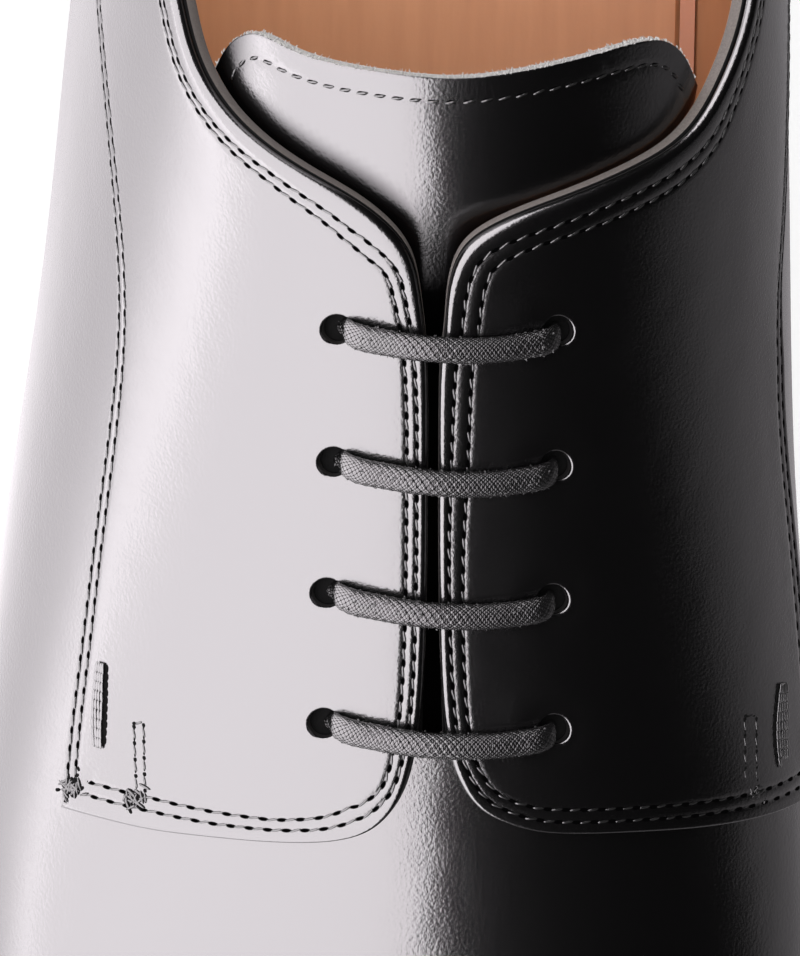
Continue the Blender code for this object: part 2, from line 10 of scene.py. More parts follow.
import bpy
import numpy as np
from mathutils import Matrix, Vector, kdtree
from mathutils.geometry import delaunay_2d_cdt

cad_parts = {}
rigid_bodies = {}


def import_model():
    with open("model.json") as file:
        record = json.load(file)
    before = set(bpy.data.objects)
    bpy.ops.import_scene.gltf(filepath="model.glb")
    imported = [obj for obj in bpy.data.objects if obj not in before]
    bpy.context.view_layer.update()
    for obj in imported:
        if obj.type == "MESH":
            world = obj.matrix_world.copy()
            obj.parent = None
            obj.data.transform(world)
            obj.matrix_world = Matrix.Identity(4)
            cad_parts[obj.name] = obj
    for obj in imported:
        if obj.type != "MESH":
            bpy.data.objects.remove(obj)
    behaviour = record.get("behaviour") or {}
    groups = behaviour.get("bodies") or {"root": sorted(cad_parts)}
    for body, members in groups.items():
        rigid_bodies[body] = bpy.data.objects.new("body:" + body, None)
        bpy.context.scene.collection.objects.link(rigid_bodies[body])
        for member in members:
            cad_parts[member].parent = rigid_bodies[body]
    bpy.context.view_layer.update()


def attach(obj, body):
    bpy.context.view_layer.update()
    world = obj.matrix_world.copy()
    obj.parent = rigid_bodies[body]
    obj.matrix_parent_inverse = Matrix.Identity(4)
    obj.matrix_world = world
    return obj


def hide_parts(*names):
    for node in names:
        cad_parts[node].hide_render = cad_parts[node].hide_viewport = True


for obj in list(bpy.data.objects):
    bpy.data.objects.remove(obj, do_unlink=True)
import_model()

# %% [markdown]
# Every piece of the upper is cut flat and pulled over one last, so the last comes first. It is
# the same short table of sections as in the part, in millimetres. A point of the flat pattern
# has a girth, measured from the ridge of the instep, and a station along the shoe. A lofted
# mesh would do as well, but a function can be asked for a point anywhere, at any fineness.

# %% Sizes of the last
MM = 0.001
SECTION_COLUMNS = (
    "y", "ridge_x", "ridge_z", "crown", "lat_wide", "med_wide", "wide_z",
    "lat_side", "med_side", "lat_foot", "med_foot", "lat_sole", "med_sole",
)
SECTIONS = (
    (-112, 2.4, 44.0, 48, -35.5, 36.5, 27.0, 0.52, 0.52, -33.5, 34.5, -38.6, 39.6),
    (-95, 3.2, 48.3, 46, -41.0, 42.2, 26.5, 0.52, 0.54, -39.0, 40.0, -44.4, 45.4),
    (-75, 3.9, 53.8, 42, -45.3, 46.8, 26.0, 0.50, 0.55, -43.0, 44.3, -48.8, 50.0),
    (-55, 4.2, 60.5, 37, -47.2, 48.6, 27.0, 0.50, 0.56, -44.3, 45.3, -50.2, 51.0),
    (-35, 3.7, 69.6, 32, -46.6, 48.0, 30.0, 0.50, 0.58, -42.0, 43.0, -47.6, 48.3),
    (-20, 3.35, 77.8, 29.5, -44.5, 46.6, 34.0, 0.48, 0.60, -38.6, 40.0, -43.8, 45.0),
    (-1, 2.87, 89.0, 27, -41.8, 44.9, 39.0, 0.46, 0.62, -34.5, 37.0, -38.8, 41.0),
    (22.7, 2.25, 103.3, 25, -38.4, 44.0, 44.0, 0.44, 0.66, -30.8, 35.3, -34.4, 39.0),
    (49.5, 1.8, 118.0, 24, -35.75, 42.96, 49.0, 0.44, 0.70, -28.7, 35.0, -31.8, 38.3),
    (75, 2.8, 128.0, 24, -32.8, 40.6, 53.0, 0.56, 0.68, -28.2, 35.2, -31.0, 38.0),
    (100, 3.6, 132.0, 26, -30.2, 37.6, 56.0, 0.62, 0.66, -27.2, 34.2, -30.0, 37.2),
)
END_COLUMNS = ("foot", "wide", "sole", "round", "wide_z", "side", "crown", "spread")
TOE_END = (34.5, 36.6, 40.3, 2.25, 27.0, 0.66, 44.0, 0.55)
HEEL_END = (45.5, 48.8, 48.6, 2.4, 58.0, 0.70, 30.0, 0.75)
TREAD = (
    (-153, 9.6), (-135, 5.6), (-115, 2.3), (-95, 0.5), (-78, -0.25), (-55, -0.25), (-38, 0.6),
    (-15, 3.6), (5, 8.0), (30, 14.5), (55, 20.8), (75, 24.2), (100, 25.6), (150, 26.2),
)
TOE_POLE, HEEL_POLE = SECTIONS[0][0], SECTIONS[-1][0]
GIRTH, WIDE_SHARE = 95.0, 0.70
FEATHER_OVER_TREAD = 8.9
SLOPE_STEP, HIP_SHARE, FOOT_PULL = 0.5, 0.5, (0.6, 0.6, 0.32)


def spline(rows):
    """A smooth curve through (x, y) rows, straight on past its ends."""
    x, y = (np.array(column, float) for column in zip(*rows))
    h = np.diff(x)
    slope = np.diff(y) / h
    n = len(x)
    matrix = np.eye(n)
    right = np.zeros(n)
    for i in range(1, n - 1):
        matrix[i, i - 1 : i + 2] = h[i - 1], 2 * (h[i - 1] + h[i]), h[i]
        right[i] = 6 * (slope[i] - slope[i - 1])
    bend = np.linalg.solve(matrix, right)

    def at(q):
        q = np.asarray(q, float)
        k = np.clip(np.searchsorted(x, q) - 1, 0, n - 2)
        inside = np.clip(q, x[0], x[-1])
        a, b, w = x[k + 1] - inside, inside - x[k], h[k]
        value = bend[k] * a**3 / (6 * w) + bend[k + 1] * b**3 / (6 * w)
        value += (y[k] / w - bend[k] * w / 6) * a + (y[k + 1] / w - bend[k + 1] * w / 6) * b
        start = slope[0] - h[0] * (2 * bend[0] + bend[1]) / 6
        end = slope[-1] + h[-1] * (bend[-2] + 2 * bend[-1]) / 6
        return value + start * np.minimum(q - x[0], 0) + end * np.maximum(q - x[-1], 0)

    return at


def unit(vectors, least=1e-12):
    """The same directions, each of length one."""
    return vectors / np.maximum(np.linalg.norm(vectors, axis=1), least)[:, None]


def run_along(points):
    """Distance from the first point, along the points."""
    return np.concatenate([[0], np.cumsum(np.linalg.norm(np.diff(points, axis=0), axis=1))])


SECTION = {
    name: spline([(row[0], row[i]) for row in SECTIONS])
    for i, name in enumerate(SECTION_COLUMNS)
    if i
}
TOE = dict(zip(END_COLUMNS, TOE_END))
HEEL = dict(zip(END_COLUMNS, HEEL_END))
TREAD_LINE = spline(TREAD)
print("last: %d sections from %d to %d mm" % (len(SECTIONS), TOE_POLE, HEEL_POLE))


# %% The last as a function
def feather(y):
    return np.maximum(TREAD_LINE(y), 0.0) + FEATHER_OVER_TREAD


def ends(y):
    """For each station: its section, how far it lies past a pole, and that end's values."""
    toe, heel = y < TOE_POLE, y > HEEL_POLE
    section = np.clip(y, TOE_POLE, HEEL_POLE)
    end = {key: np.where(toe, TOE[key], HEEL[key]) for key in TOE}
    sign = np.where(toe, -1.0, 1.0)
    past = np.where(toe | heel, np.abs(y - section) / end["spread"], 0.0)
    return section, past, sign, end


def outline_point(name, section, side, across, along, sign, end):
    """Plan point of the foot, wide or sole outline, in the given direction from the pole."""
    size = (across ** end["round"] + along ** end["round"]) ** (1 / end["round"])
    c, s = across / size, along / size
    y = section + sign * end[name] * s
    inward = -sign * SLOPE_STEP
    edge = []
    for key in ("lat_" + name, "med_" + name):
        at = SECTION[key](section)
        edge.append(at + (SECTION[key](section + inward) - at) / inward * (y - section))
    return (edge[0] + edge[1]) / 2 + side * (edge[1] - edge[0]) / 2 * c, y


def bezier(points, t):
    t = t[:, None]
    a, b, c, d = points
    return (1 - t) ** 3 * a + 3 * (1 - t) ** 2 * t * b + 3 * (1 - t) * t**2 * c + t**3 * d


def last_surface(girth, along):
    """The outer face of the vamp leather at pattern points (girth, along)."""
    section, past, sign, end = ends(along)
    reach = np.hypot(girth, past)
    safe = np.maximum(reach, 1e-9)
    across, onward = np.where(reach > 1e-9, np.abs(girth) / safe, 1.0), past / safe
    side = np.where(girth < 0, -1.0, 1.0)
    share = reach / GIRTH
    value = {key: at(section) for key, at in SECTION.items()}
    turn = onward**2
    pull = np.where(side < 0, value["lat_side"], value["med_side"])
    pull = pull * (1 - turn) + end["side"] * turn
    wide_z = value["wide_z"] * (1 - turn) + end["wide_z"] * turn
    crown = value["crown"] * (1 - turn) + end["crown"] * turn

    wide_x, wide_y = outline_point("wide", section, side, across, onward, sign, end)
    foot_x, foot_y = outline_point("foot", section, side, across, onward, sign, end)
    top = np.stack([value["ridge_x"], section, value["ridge_z"]], 1)
    wide = np.stack([wide_x, wide_y, wide_z], 1)
    foot = np.stack([foot_x, foot_y, feather(foot_y)], 1)

    inward = -sign * SLOPE_STEP
    ridge_slope = (SECTION["ridge_z"](section + inward) - value["ridge_z"]) / inward
    heading = wide - top
    heading[:, 2] = 0
    heading = unit(heading, least=1e-9)
    heading[:, 2] = ridge_slope * heading[:, 1]
    heading = unit(heading)
    shoulder = wide + np.outer(pull * (top[:, 2] - wide[:, 2]), (0, 0, 1))
    drop = np.linalg.norm(np.cross(shoulder - top, heading), axis=1)
    handle = np.sqrt(2 / 3 * drop * crown)
    over = (top, top + handle[:, None] * heading, shoulder, wide)
    hip = wide - np.outer(HIP_SHARE * (wide[:, 2] - foot[:, 2]), (0, 0, 1))
    under = (wide, hip, foot + (wide - foot) * FOOT_PULL, foot)
    t_over = np.clip(share / WIDE_SHARE, 0, 1)
    t_under = np.clip((share - WIDE_SHARE) / (1 - WIDE_SHARE), 0, 1)
    return np.where((share <= WIDE_SHARE)[:, None], bezier(over, t_over), bezier(under, t_under))


def last_normal(girth, along, step=0.05):
    bound = GIRTH - 2 * step
    girth = np.clip(girth, -bound, bound)
    over = last_surface(girth + step, along) - last_surface(girth - step, along)
    onward = last_surface(girth, along + step) - last_surface(girth, along - step)
    return unit(np.cross(over, onward))


def on_last(girth, along, lift=0.0):
    """Points lifted off the vamp leather's outer face by so many millimetres."""
    girth, along = np.atleast_1d(girth).astype(float), np.atleast_1d(along).astype(float)
    girth, along = np.broadcast_arrays(girth, along)
    lift = np.broadcast_to(np.asarray(lift, float), girth.shape)
    return last_surface(girth, along) + last_normal(girth, along) * lift[:, None]


throat = on_last(0.0, -7.0)[0]
print("throat at the middle of the picture (mm):", np.round(throat, 1))



def in_scene(name, data):
    obj = bpy.data.objects.new(name, data)
    bpy.context.scene.collection.objects.link(obj)
    return obj


def write_values(mesh, label, values):
    """One number for each point of the mesh, for its material to read."""
    layer = mesh.attributes.new(label, "FLOAT", "POINT")
    layer.data.foreach_set("value", values.astype(np.float32))


# %% [markdown]
# The picture is taken almost straight down, a few degrees from the toe and from the outer side,
# through a long lens, so near and far parts keep their size. The camera is placed by that
# direction and by the scale that the stitches and the punched holes give.

# %% Camera
PIXELS_PER_MM = 9.3
FRAME_WIDE_PX, FRAME_HIGH_PX = 800, 956
THROAT_PX = (436, 478)
LEAN_TO_TOE, LEAN_TO_OUTER = 7.0, 2.5
CAMERA_AWAY = 1.6
AIM = np.array([3.0, -7.0, 86.5]) * MM

back = np.array([-math.tan(math.radians(LEAN_TO_OUTER)), -math.tan(math.radians(LEAN_TO_TOE)), 1.0])
back /= np.linalg.norm(back)
up = np.array([0.0, 1.0, 0.0]) - back[1] * back
up /= np.linalg.norm(up)
right = np.cross(up, back)
middle_px = (FRAME_WIDE_PX / 2 - THROAT_PX[0], THROAT_PX[1] - FRAME_HIGH_PX / 2)
aim = AIM + (right * middle_px[0] + up * middle_px[1]) / PIXELS_PER_MM * MM

camera_data = bpy.data.cameras.new("camera")
camera_data.sensor_width = 36.0
frame_high = FRAME_HIGH_PX / PIXELS_PER_MM * MM
camera_data.lens = camera_data.sensor_width * CAMERA_AWAY / frame_high
camera_data.clip_start, camera_data.clip_end = 0.05, 20.0
camera = in_scene("camera", camera_data)
spin = np.eye(4)
spin[:3, 0], spin[:3, 1], spin[:3, 2], spin[:3, 3] = right, up, back, aim + back * CAMERA_AWAY
camera.matrix_world = Matrix(spin.tolist())
bpy.context.scene.camera = camera
print("lens %.0f mm at %.2f m" % (camera_data.lens, CAMERA_AWAY))

# %% [markdown]
# The pattern is drawn flat, as a clicker's knives would cut it. Each line is a few listed points
# with a smooth curve through them. A quarter's edge runs from the heel along the top line,
# down the facing and round the front corner as one line, because it is one cut.

# %% Lines of the pattern
COLLAR_LAT = (
    (-1.4, -28.9), (-1.15, -24.9), (-0.96, -18.8), (-0.86, -12.7), (-0.81, -5.6), (-0.8, 1.5),
    (-0.9, 5.0), (-1.2, 8.4), (-1.7, 12.0), (-2.6, 15.4), (-5.6, 19.1), (-13.3, 24.0),
    (-22.1, 30.4), (-27.4, 37.3), (-30.3, 44.5), (-34.2, 53.0), (-42.0, 64.0), (-48.5, 78.0),
    (-51.4, 92.0), (-50.0, 108.0), (-40.5, 122.5), (-25.3, 132.6), (-12.9, 136.2), (0.0, 137.1),
)
COLLAR_MED = (
    (0.93, -28.9), (0.67, -24.9), (0.48, -18.8), (0.41, -12.7), (0.41, -5.6), (0.47, 1.5),
    (0.65, 5.0), (1.15, 8.4), (1.6, 12.2), (3.0, 15.6), (7.6, 18.7), (15.5, 21.6),
    (26.0, 25.8), (33.5, 30.2), (39.2, 36.5), (44.2, 45.0), (46.8, 55.0),
    (49.6, 70.0), (51.4, 88.0), (50.4, 106.0), (41.0, 122.0), (25.4, 132.6),
    (12.9, 136.2), (0.0, 137.1),
)
FRONT_LAT = (
    (-1.7, -31.5), (-2.3, -34.7), (-3.0, -37.3), (-4.0, -39.4), (-5.3, -41.1), (-7.1, -42.6),
    (-9.9, -43.6), (-14.4, -43.9), (-19.0, -43.6), (-24.4, -42.9), (-29.3, -42.1), (-36.0, -40.4),
    (-40.9, -39.0),
)
FRONT_MED = (
    (1.2, -31.5), (1.85, -34.8), (2.9, -37.3), (4.2, -39.2), (5.8, -40.6), (8.2, -41.7),
    (11.1, -42.5), (15.4, -42.8), (22.8, -42.4), (29.2, -41.8), (36.2, -40.8), (42.4, -39.5),
    (48.4, -37.8), (54.5, -35.6),
)
SEAM_LAT = (
    (-40.9, -39.0), (-40.5, -30.0), (-39.9, -20.0), (-39.35, -12.0), (-38.2, 0.0), (-37.8, 12.0),
    (-40.4, 27.0), (-45.8, 45.5), (-53.5, 61.0), (-67.0, 74.0), (-82.0, 82.0), (-95.0, 85.4),
)
SEAM_MED = (
    (54.5, -35.6), (53.4, -22.0), (52.3, -9.6), (50.4, 4.0), (50.4, 13.0), (52.2, 24.0),
    (54.4, 40.0), (58.0, 56.0), (68.5, 70.0), (82.5, 78.5), (95.0, 82.0),
)
VAMP_BACK_LAT = (
    (0.0, -33.8), (-8.0, -33.2), (-20.0, -36.0), (-32.0, -34.5), (-35.5, -27.0), (-34.6, -12.0),
    (-33.6, 4.0), (-34.2, 14.0), (-37.5, 30.0), (-43.5, 46.0), (-51.5, 59.0), (-65.0, 70.5),
    (-81.0, 78.2), (-95.0, 81.5),
)
VAMP_BACK_MED = (
    (0.0, -33.8), (9.0, -33.2), (24.0, -35.5), (42.0, -33.5), (49.0, -28.0), (48.4, -12.0),
    (46.6, 4.0), (46.6, 14.0), (48.6, 26.0), (50.8, 41.0), (55.0, 57.5), (67.0, 71.5),
    (82.0, 79.0), (95.0, 78.0),
)
EYELETS_LAT = ((-10.3, 8.6), (-10.8, -4.7), (-11.6, -18.0), (-12.0, -31.4))
EYELETS_MED = ((15.0, 8.7), (14.7, -4.9), (14.3, -18.5), (14.3, -31.9))
HOLE_WIDE = 3.4
LINE_STEP, FINE_POINTS = 0.7, 3000


def smooth_line(rows, step=LINE_STEP):
    """Points at an even spacing along a smooth curve through the rows."""
    rows = np.array(rows, float)
    run = run_along(rows)
    curves = [spline(list(zip(run, column))) for column in rows.T]
    fine = np.linspace(0, run[-1], FINE_POINTS)
    points = np.stack([curve(fine) for curve in curves], 1)
    length = run_along(points)
    count = max(2, int(np.ceil(length[-1] / step)))
    at = np.interp(np.linspace(0, length[-1], count + 1), length, fine)
    return np.stack([curve(at) for curve in curves], 1)


def stretch(points):
    """How a small step over the pattern moves a point on the last: one column for each way."""
    girth, along = points.T
    step = 0.05
    over = (last_surface(girth + step, along) - last_surface(girth - step, along)) / (2 * step)
    onward = (last_surface(girth, along + step) - last_surface(girth, along - step)) / (2 * step)
    return np.stack([over, onward], 2)


def step_aside(line, distance, closed=False):
    """The line moved to its left by a real distance over the last, in millimetres."""
    if closed:
        heading = (np.roll(line, -1, 0) - np.roll(line, 1, 0)) / 2
    else:
        heading = np.gradient(line, axis=0)
    to_last = stretch(line)
    tangent = np.einsum("nij,nj->ni", to_last, heading)
    normal = np.cross(to_last[:, :, 0], to_last[:, :, 1])
    left = unit(np.cross(normal, tangent))
    square = np.einsum("nij,nik->njk", to_last, to_last)
    pull = np.einsum("nij,ni->nj", to_last, left)
    distance = np.broadcast_to(np.asarray(distance, float), (len(line),))
    return line + np.linalg.solve(square, pull[:, :, None])[:, :, 0] * distance[:, None]


def run_length(line):
    """Real distance along the line over the last, in millimetres."""
    return run_along(last_surface(*line.T))


edge_lat = smooth_line(COLLAR_LAT[::-1] + FRONT_LAT)
edge_med = smooth_line(COLLAR_MED[::-1] + FRONT_MED)
seam_lat, seam_med = smooth_line(SEAM_LAT), smooth_line(SEAM_MED)

# Distance of the two stitch rows from the quarter's edge, by the run from the front corner
ROW_GAPS_LAT = (
    (0, 2.3, 3.8), (12, 2.15, 3.65), (19, 1.65, 3.0), (26, 1.48, 2.65), (31, 1.55, 2.85), (36, 1.85, 3.4),
    (42, 1.2, 2.3), (50, 1.15, 2.25), (86, 1.2, 2.25), (97, 1.4, 2.45), (104, 1.65, 2.9), (109, 2.5, 4.0),
    (113, 2.75, 4.1), (118, 2.3, 3.5), (124, 1.9, 2.9), (131, 2.0, 2.8), (140, 2.1, 2.9), (300, 2.1, 2.9),
)
ROW_GAPS_MED = (
    (0, 1.5, 2.9), (38, 1.4, 2.8), (46, 1.3, 2.5), (54, 1.15, 2.35), (72, 0.98, 2.35), (80, 1.0, 2.5),
    (88, 1.2, 2.9), (104, 1.6, 3.3), (117, 2.1, 3.8), (124, 2.4, 3.95), (131, 2.45, 4.2), (140, 2.45, 4.1),
    (147, 2.45, 3.9), (151, 2.2, 3.4), (157, 1.7, 2.8), (170, 1.6, 2.6), (300, 1.6, 2.6),
)
SEAM_GAPS = (0.6, 1.65)
STITCH_PITCH = 2.08


def row_gaps(line, table):
    """Distance of each stitch row from every point of an edge that ends at the front corner."""
    run = run_length(line)
    left = run[-1] - run
    start, one, two = (np.array(column, float) for column in zip(*table))
    return np.interp(left, start, one), np.interp(left, start, two)


gaps_lat, gaps_med = row_gaps(edge_lat, ROW_GAPS_LAT), row_gaps(edge_med, ROW_GAPS_MED)
print("quarter edge: %.0f mm outer side, %.0f mm inner side"
      % (run_length(edge_lat)[-1], run_length(edge_med)[-1]))

# %% [markdown]
# A piece of leather is modelled as a closed sheet: an upper and an under face with the same
# triangles, and an edge that turns over in a small radius. The points lie in rows beside each
# cut edge, so the roll of the edge and the groove of a stitch row have real shape. A grid fills
# the rest. Solidify with a bevel is the usual way, but it knows nothing of a cut's own distance.

# %% Leather sheets
ROWS_IN = (0.07, 0.16, 0.3, 0.48, 0.7)
ROW_BESIDE, ROW_AFTER, CLOSEST_ROWS = 0.23, 0.7, 0.09
HOLE_ROWS_IN = (0.06, 0.14, 0.26, 0.42, 0.7, 1.1, 1.7)
NEAR_STEP, FAR_STEP = 1.4, 3.2
NEAR_GIRTH, NEAR_BACK, NEAR_FRONT = 64.0, 52.0, -66.0
# Rows beside the feather line keep the mirror of the room even there
FEATHER_ROWS, FEATHER_CLEAR = (1.1, 2.3, 3.6, 5.1), 4.0
ROW_KEPT, GRID_KEPT, BETWEEN, BATCH = 0.93, 0.6, (0.0, 0.33, 0.67), 2000
GROOVE_DEEP, GROOVE_WIDE = 0.12, 0.2
# Stands for a distance beyond anything on the shoe
FAR_AWAY = 99.0


def inside(points, loop):
    """Which points lie inside a closed line, by counting crossings."""
    found = np.zeros(len(points), bool)
    ax, ay = loop[:, 0], loop[:, 1]
    bx, by = np.roll(ax, -1), np.roll(ay, -1)
    rise = np.where(by == ay, 1.0, by - ay)
    for first in range(0, len(points), BATCH):
        some = slice(first, first + BATCH)
        x, y = points[some, 0, None], points[some, 1, None]
        crosses = (ay > y) != (by > y)
        left = x < (bx - ax) * (y - ay) / rise + ax
        found[some] = (crosses & left).sum(1) % 2 == 1
    return found


def anticlockwise(loop):
    x, y = loop.T
    area = (x * np.roll(y, -1) - np.roll(x, -1) * y).sum()
    return loop if area > 0 else loop[::-1]


def tree_of(points):
    tree = kdtree.KDTree(len(points))
    for i, point in enumerate(points):
        tree.insert(Vector(point), i)
    tree.balance()
    return tree


def nearest(tree, points):
    """Index of and distance to the nearest point of the tree, for each point."""
    found = [tree.find(Vector(point)) for point in points]
    return np.array([f[1] for f in found]), np.array([f[2] for f in found])


def foot_arc(start, finish, end, sign, count=60):
    """The foot edge of the pattern round one end, between two points of it."""
    pole = TOE_POLE if sign < 0 else HEEL_POLE
    turn = np.linspace(start, finish, count)
    return np.stack([GIRTH * np.cos(turn), pole + sign * GIRTH * end["spread"] * np.sin(turn)], 1)


def straight_foot(girth, start, finish, step=2.5):
    count = int(abs(finish - start) / step) + 1
    return np.stack([np.full(count + 1, girth), np.linspace(start, finish, count + 1)], 1)


def eyelet_loop(girth, along, wide=HOLE_WIDE, sides=28):
    """A round hole through the facing."""
    turn = np.linspace(0, 2 * np.pi, sides, endpoint=False)
    across, onward = np.linalg.norm(stretch(np.array([(girth, along)]))[0], axis=0)
    radius = wide / 2
    return np.stack([girth + radius / across * np.cos(turn), along + radius / onward * np.sin(turn)], 1)


def rows_beside(one, two):
    """Distances from the edge at which a row of points is laid, a column for each edge point."""
    rows = [np.full(len(one), distance) for distance in ROWS_IN]
    rows += [one - ROW_BESIDE, one, one + ROW_BESIDE, (one + two) / 2]
    rows += [two - ROW_BESIDE, two, two + ROW_BESIDE, two + ROW_AFTER]
    rows = np.sort(rows, axis=0)
    for i in range(1, len(rows)):
        rows[i] = np.maximum(rows[i], rows[i - 1] + CLOSEST_ROWS)
    return rows


def pattern_piece(outline, cut, holes=(), rows=None, near_step=NEAR_STEP, far_step=FAR_STEP):
    """Triangles over one flat piece, with what each point knows of the nearest cut edge.

    The outline runs anticlockwise. Cut says which of its points lie on a cut edge; the others
    are hidden under the sole. Rows are, for each outline point, the distance of two stitch rows
    and the run along them. Returned are the flat points, the faces, and the point values.
    """
    if rows is None:
        rows = tuple(np.full(len(outline), value) for value in (FAR_AWAY, FAR_AWAY, 0.0, 0.0))
    chains = [(outline, cut)] + [(hole[::-1], np.ones(len(hole), bool)) for hole in holes]
    dense = []
    for chain, is_cut in chains:
        both = is_cut & np.roll(is_cut, -1)
        step = np.roll(chain, -1, 0) - chain
        dense += [chain[both] + step[both] * t for t in BETWEEN]
    border_tree = tree_of(last_surface(*np.concatenate(dense).T))
    points, values, edges, many = [], [], [], 0

    def lay(flat, depth, gap, phase):
        points.append(flat)
        values.append(np.stack([np.broadcast_to(v, len(flat)) for v in (depth, gap, phase)], 1))

    def lay_row(row, kept, depth, gap, phase):
        """Part of a row beside a line, joined up where its neighbours are kept too."""
        nonlocal many
        place = many + np.cumsum(kept) - 1
        follow = np.nonzero(kept & np.roll(kept, -1))[0]
        edges.extend((place[i], place[(i + 1) % len(row)]) for i in follow)
        lay(row[kept], depth[kept], gap[kept], phase[kept])
        many += kept.sum()

    for number, (chain, is_cut) in enumerate(chains):
        lay(chain, np.where(is_cut, 0.0, FAR_AWAY), FAR_AWAY, 0.0)
        edges += [(many + i, many + (i + 1) % len(chain)) for i in range(len(chain))]
        many += len(chain)
        distances = rows_beside(rows[0], rows[1]) if number == 0 else np.array(HOLE_ROWS_IN)
        for distance in distances:
            distance = np.broadcast_to(distance, len(chain))
            row = step_aside(chain, distance, closed=True)
            away = nearest(border_tree, last_surface(*row.T))[1]
            kept = is_cut & (away > ROW_KEPT * distance) & inside(row, outline)
            gap, phase = np.full(len(chain), FAR_AWAY), np.zeros(len(chain))
            if number == 0:
                to_one, to_two = np.abs(distance - rows[0]), np.abs(distance - rows[1])
                gap = np.minimum(to_one, to_two)
                phase = np.where(to_one < to_two, rows[2], rows[3]) / STITCH_PITCH
            lay_row(row, kept, distance, gap, phase)
    plain = np.full(len(outline), FAR_AWAY)
    for distance in FEATHER_ROWS:
        row = step_aside(outline, distance, closed=True)
        away = nearest(border_tree, last_surface(*row.T))[1]
        kept = ~cut & (away > FEATHER_CLEAR) & inside(row, outline)
        lay_row(row, kept, away, plain, 0 * plain)
    laid = np.concatenate(points)
    laid_tree = tree_of(np.c_[laid, np.zeros(len(laid))])
    low, high = outline.min(0), outline.max(0)
    for step, near in ((near_step, True), (far_step, False)):
        across = np.arange(low[0] + step / 2, high[0], step)
        onward = np.arange(low[1] + step / 2, high[1], step)
        field = np.stack(np.meshgrid(across, onward), -1)
        field[1::2, :, 0] += step / 2
        field = field.reshape(-1, 2)
        window = np.abs(field[:, 0]) < NEAR_GIRTH
        window &= (field[:, 1] < NEAR_BACK) & (field[:, 1] > NEAR_FRONT)
        field = field[window == near]
        field = field[inside(field, outline)]
        for hole in holes:
            field = field[~inside(field, hole)]
        away = nearest(laid_tree, np.c_[field, np.zeros(len(field))])[1]
        field = field[away > GRID_KEPT * step]
        lay(field, nearest(border_tree, last_surface(*field.T))[1], FAR_AWAY, 0.0)
    corners = [Vector(p) for p in np.concatenate(points)]
    made = delaunay_2d_cdt(corners, [(int(a), int(b)) for a, b in edges], [], 0, 1e-5)
    flat = np.array([(v.x, v.y) for v in made[0]])
    source = np.array([ids[0] if ids else -1 for ids in made[3]])
    faces = np.array([tuple(face) for face in made[2]])
    middle = flat[faces].mean(1)
    keep = inside(middle, outline)
    for hole in holes:
        keep &= ~inside(middle, hole)
    lost = source < 0
    values = np.concatenate(values)[source]
    if lost.any():
        values[lost, 0] = nearest(border_tree, last_surface(*flat[lost].T))[1]
        values[lost, 1] = FAR_AWAY
    return flat, faces[keep], values


def roll(depth, radius):
    """How far an edge of that radius has turned down at a distance from the cut."""
    t = np.clip(1 - depth / radius, 0, 1)
    return radius * (1 - np.sqrt(np.maximum(1 - t * t, 0)))


def groove(gap, deep=GROOVE_DEEP, wide=GROOVE_WIDE):
    """A dent along each stitch row."""
    return deep * np.exp(-((gap / wide) ** 2))


def sheet_object(name, piece, over, under, materials=(), edge_index=0, over_index=0):
    """A closed sheet from a pattern piece: an upper and an under face and the cut between them."""
    flat, faces, values = piece
    used = np.unique(faces)
    index = np.full(len(flat), -1)
    index[used] = np.arange(len(used))
    flat, values, over, under = flat[used], values[used], over[used], under[used]
    faces = index[faces]
    many = len(flat)
    upper = on_last(*flat.T, over)
    lower = on_last(*flat.T, under)
    pair = np.concatenate([faces[:, (0, 1)], faces[:, (1, 2)], faces[:, (2, 0)]])
    key = np.sort(pair, axis=1)
    _, where, count = np.unique(key, axis=0, return_index=True, return_counts=True)
    rim = pair[where[count == 1]]
    walls = np.stack([rim[:, 1], rim[:, 0], rim[:, 0] + many, rim[:, 1] + many], 1)
    vertices = np.concatenate([upper, lower]) * MM
    mesh = bpy.data.meshes.new(name)
    triangles = np.concatenate([faces, faces[:, ::-1] + many])
    mesh.from_pydata(vertices.tolist(), [], triangles.tolist() + walls.tolist())
    for label, column in zip(("edge_mm", "row_mm", "row_phase"), values.T):
        write_values(mesh, label, np.tile(column, 2))
    for made in materials:
        mesh.materials.append(made)
    which = np.zeros(len(mesh.polygons), np.int32)
    which[: len(faces)] = over_index
    which[2 * len(faces) :] = edge_index
    mesh.polygons.foreach_set("material_index", which)
    mesh.shade_smooth()
    mesh.validate()
    obj = in_scene(name, mesh)
    print("%s: %d points, %d triangles" % (name, len(vertices), 2 * len(faces) + 2 * len(walls)))
    return obj

# %% [markdown]
# The vamp covers the toe and runs a few millimetres under both quarters. The two quarters are
# one piece here, shaped like a horseshoe, and lie on the vamp. The lining follows the inside.
# The same sheet function cuts all three, so their edges agree to the hundredth of a millimetre.

# %% Vamp, quarters and lining
VAMP_THICK, QUARTER_RISE, LINING_UNDER = 1.0, 1.2, -1.6
LINING_DROP, LINING_GAP = 0.95, 0.12
FACING_ROLL, FRONT_ROLL, HOLE_ROLL, VAMP_ROLL = 0.85, 0.34, 0.32, 0.3
HOLE_RIM = 2.8
# The inner facing is pulled up a little by the lace, so its edge stands as a low lip
INNER_FACING_ROLL, LIP_TALL, LIP_WIDE = 0.45, 0.38, 2.6
INNER_FACING_FROM, INNER_FACING_TO = (-44, -36), (8, 20)
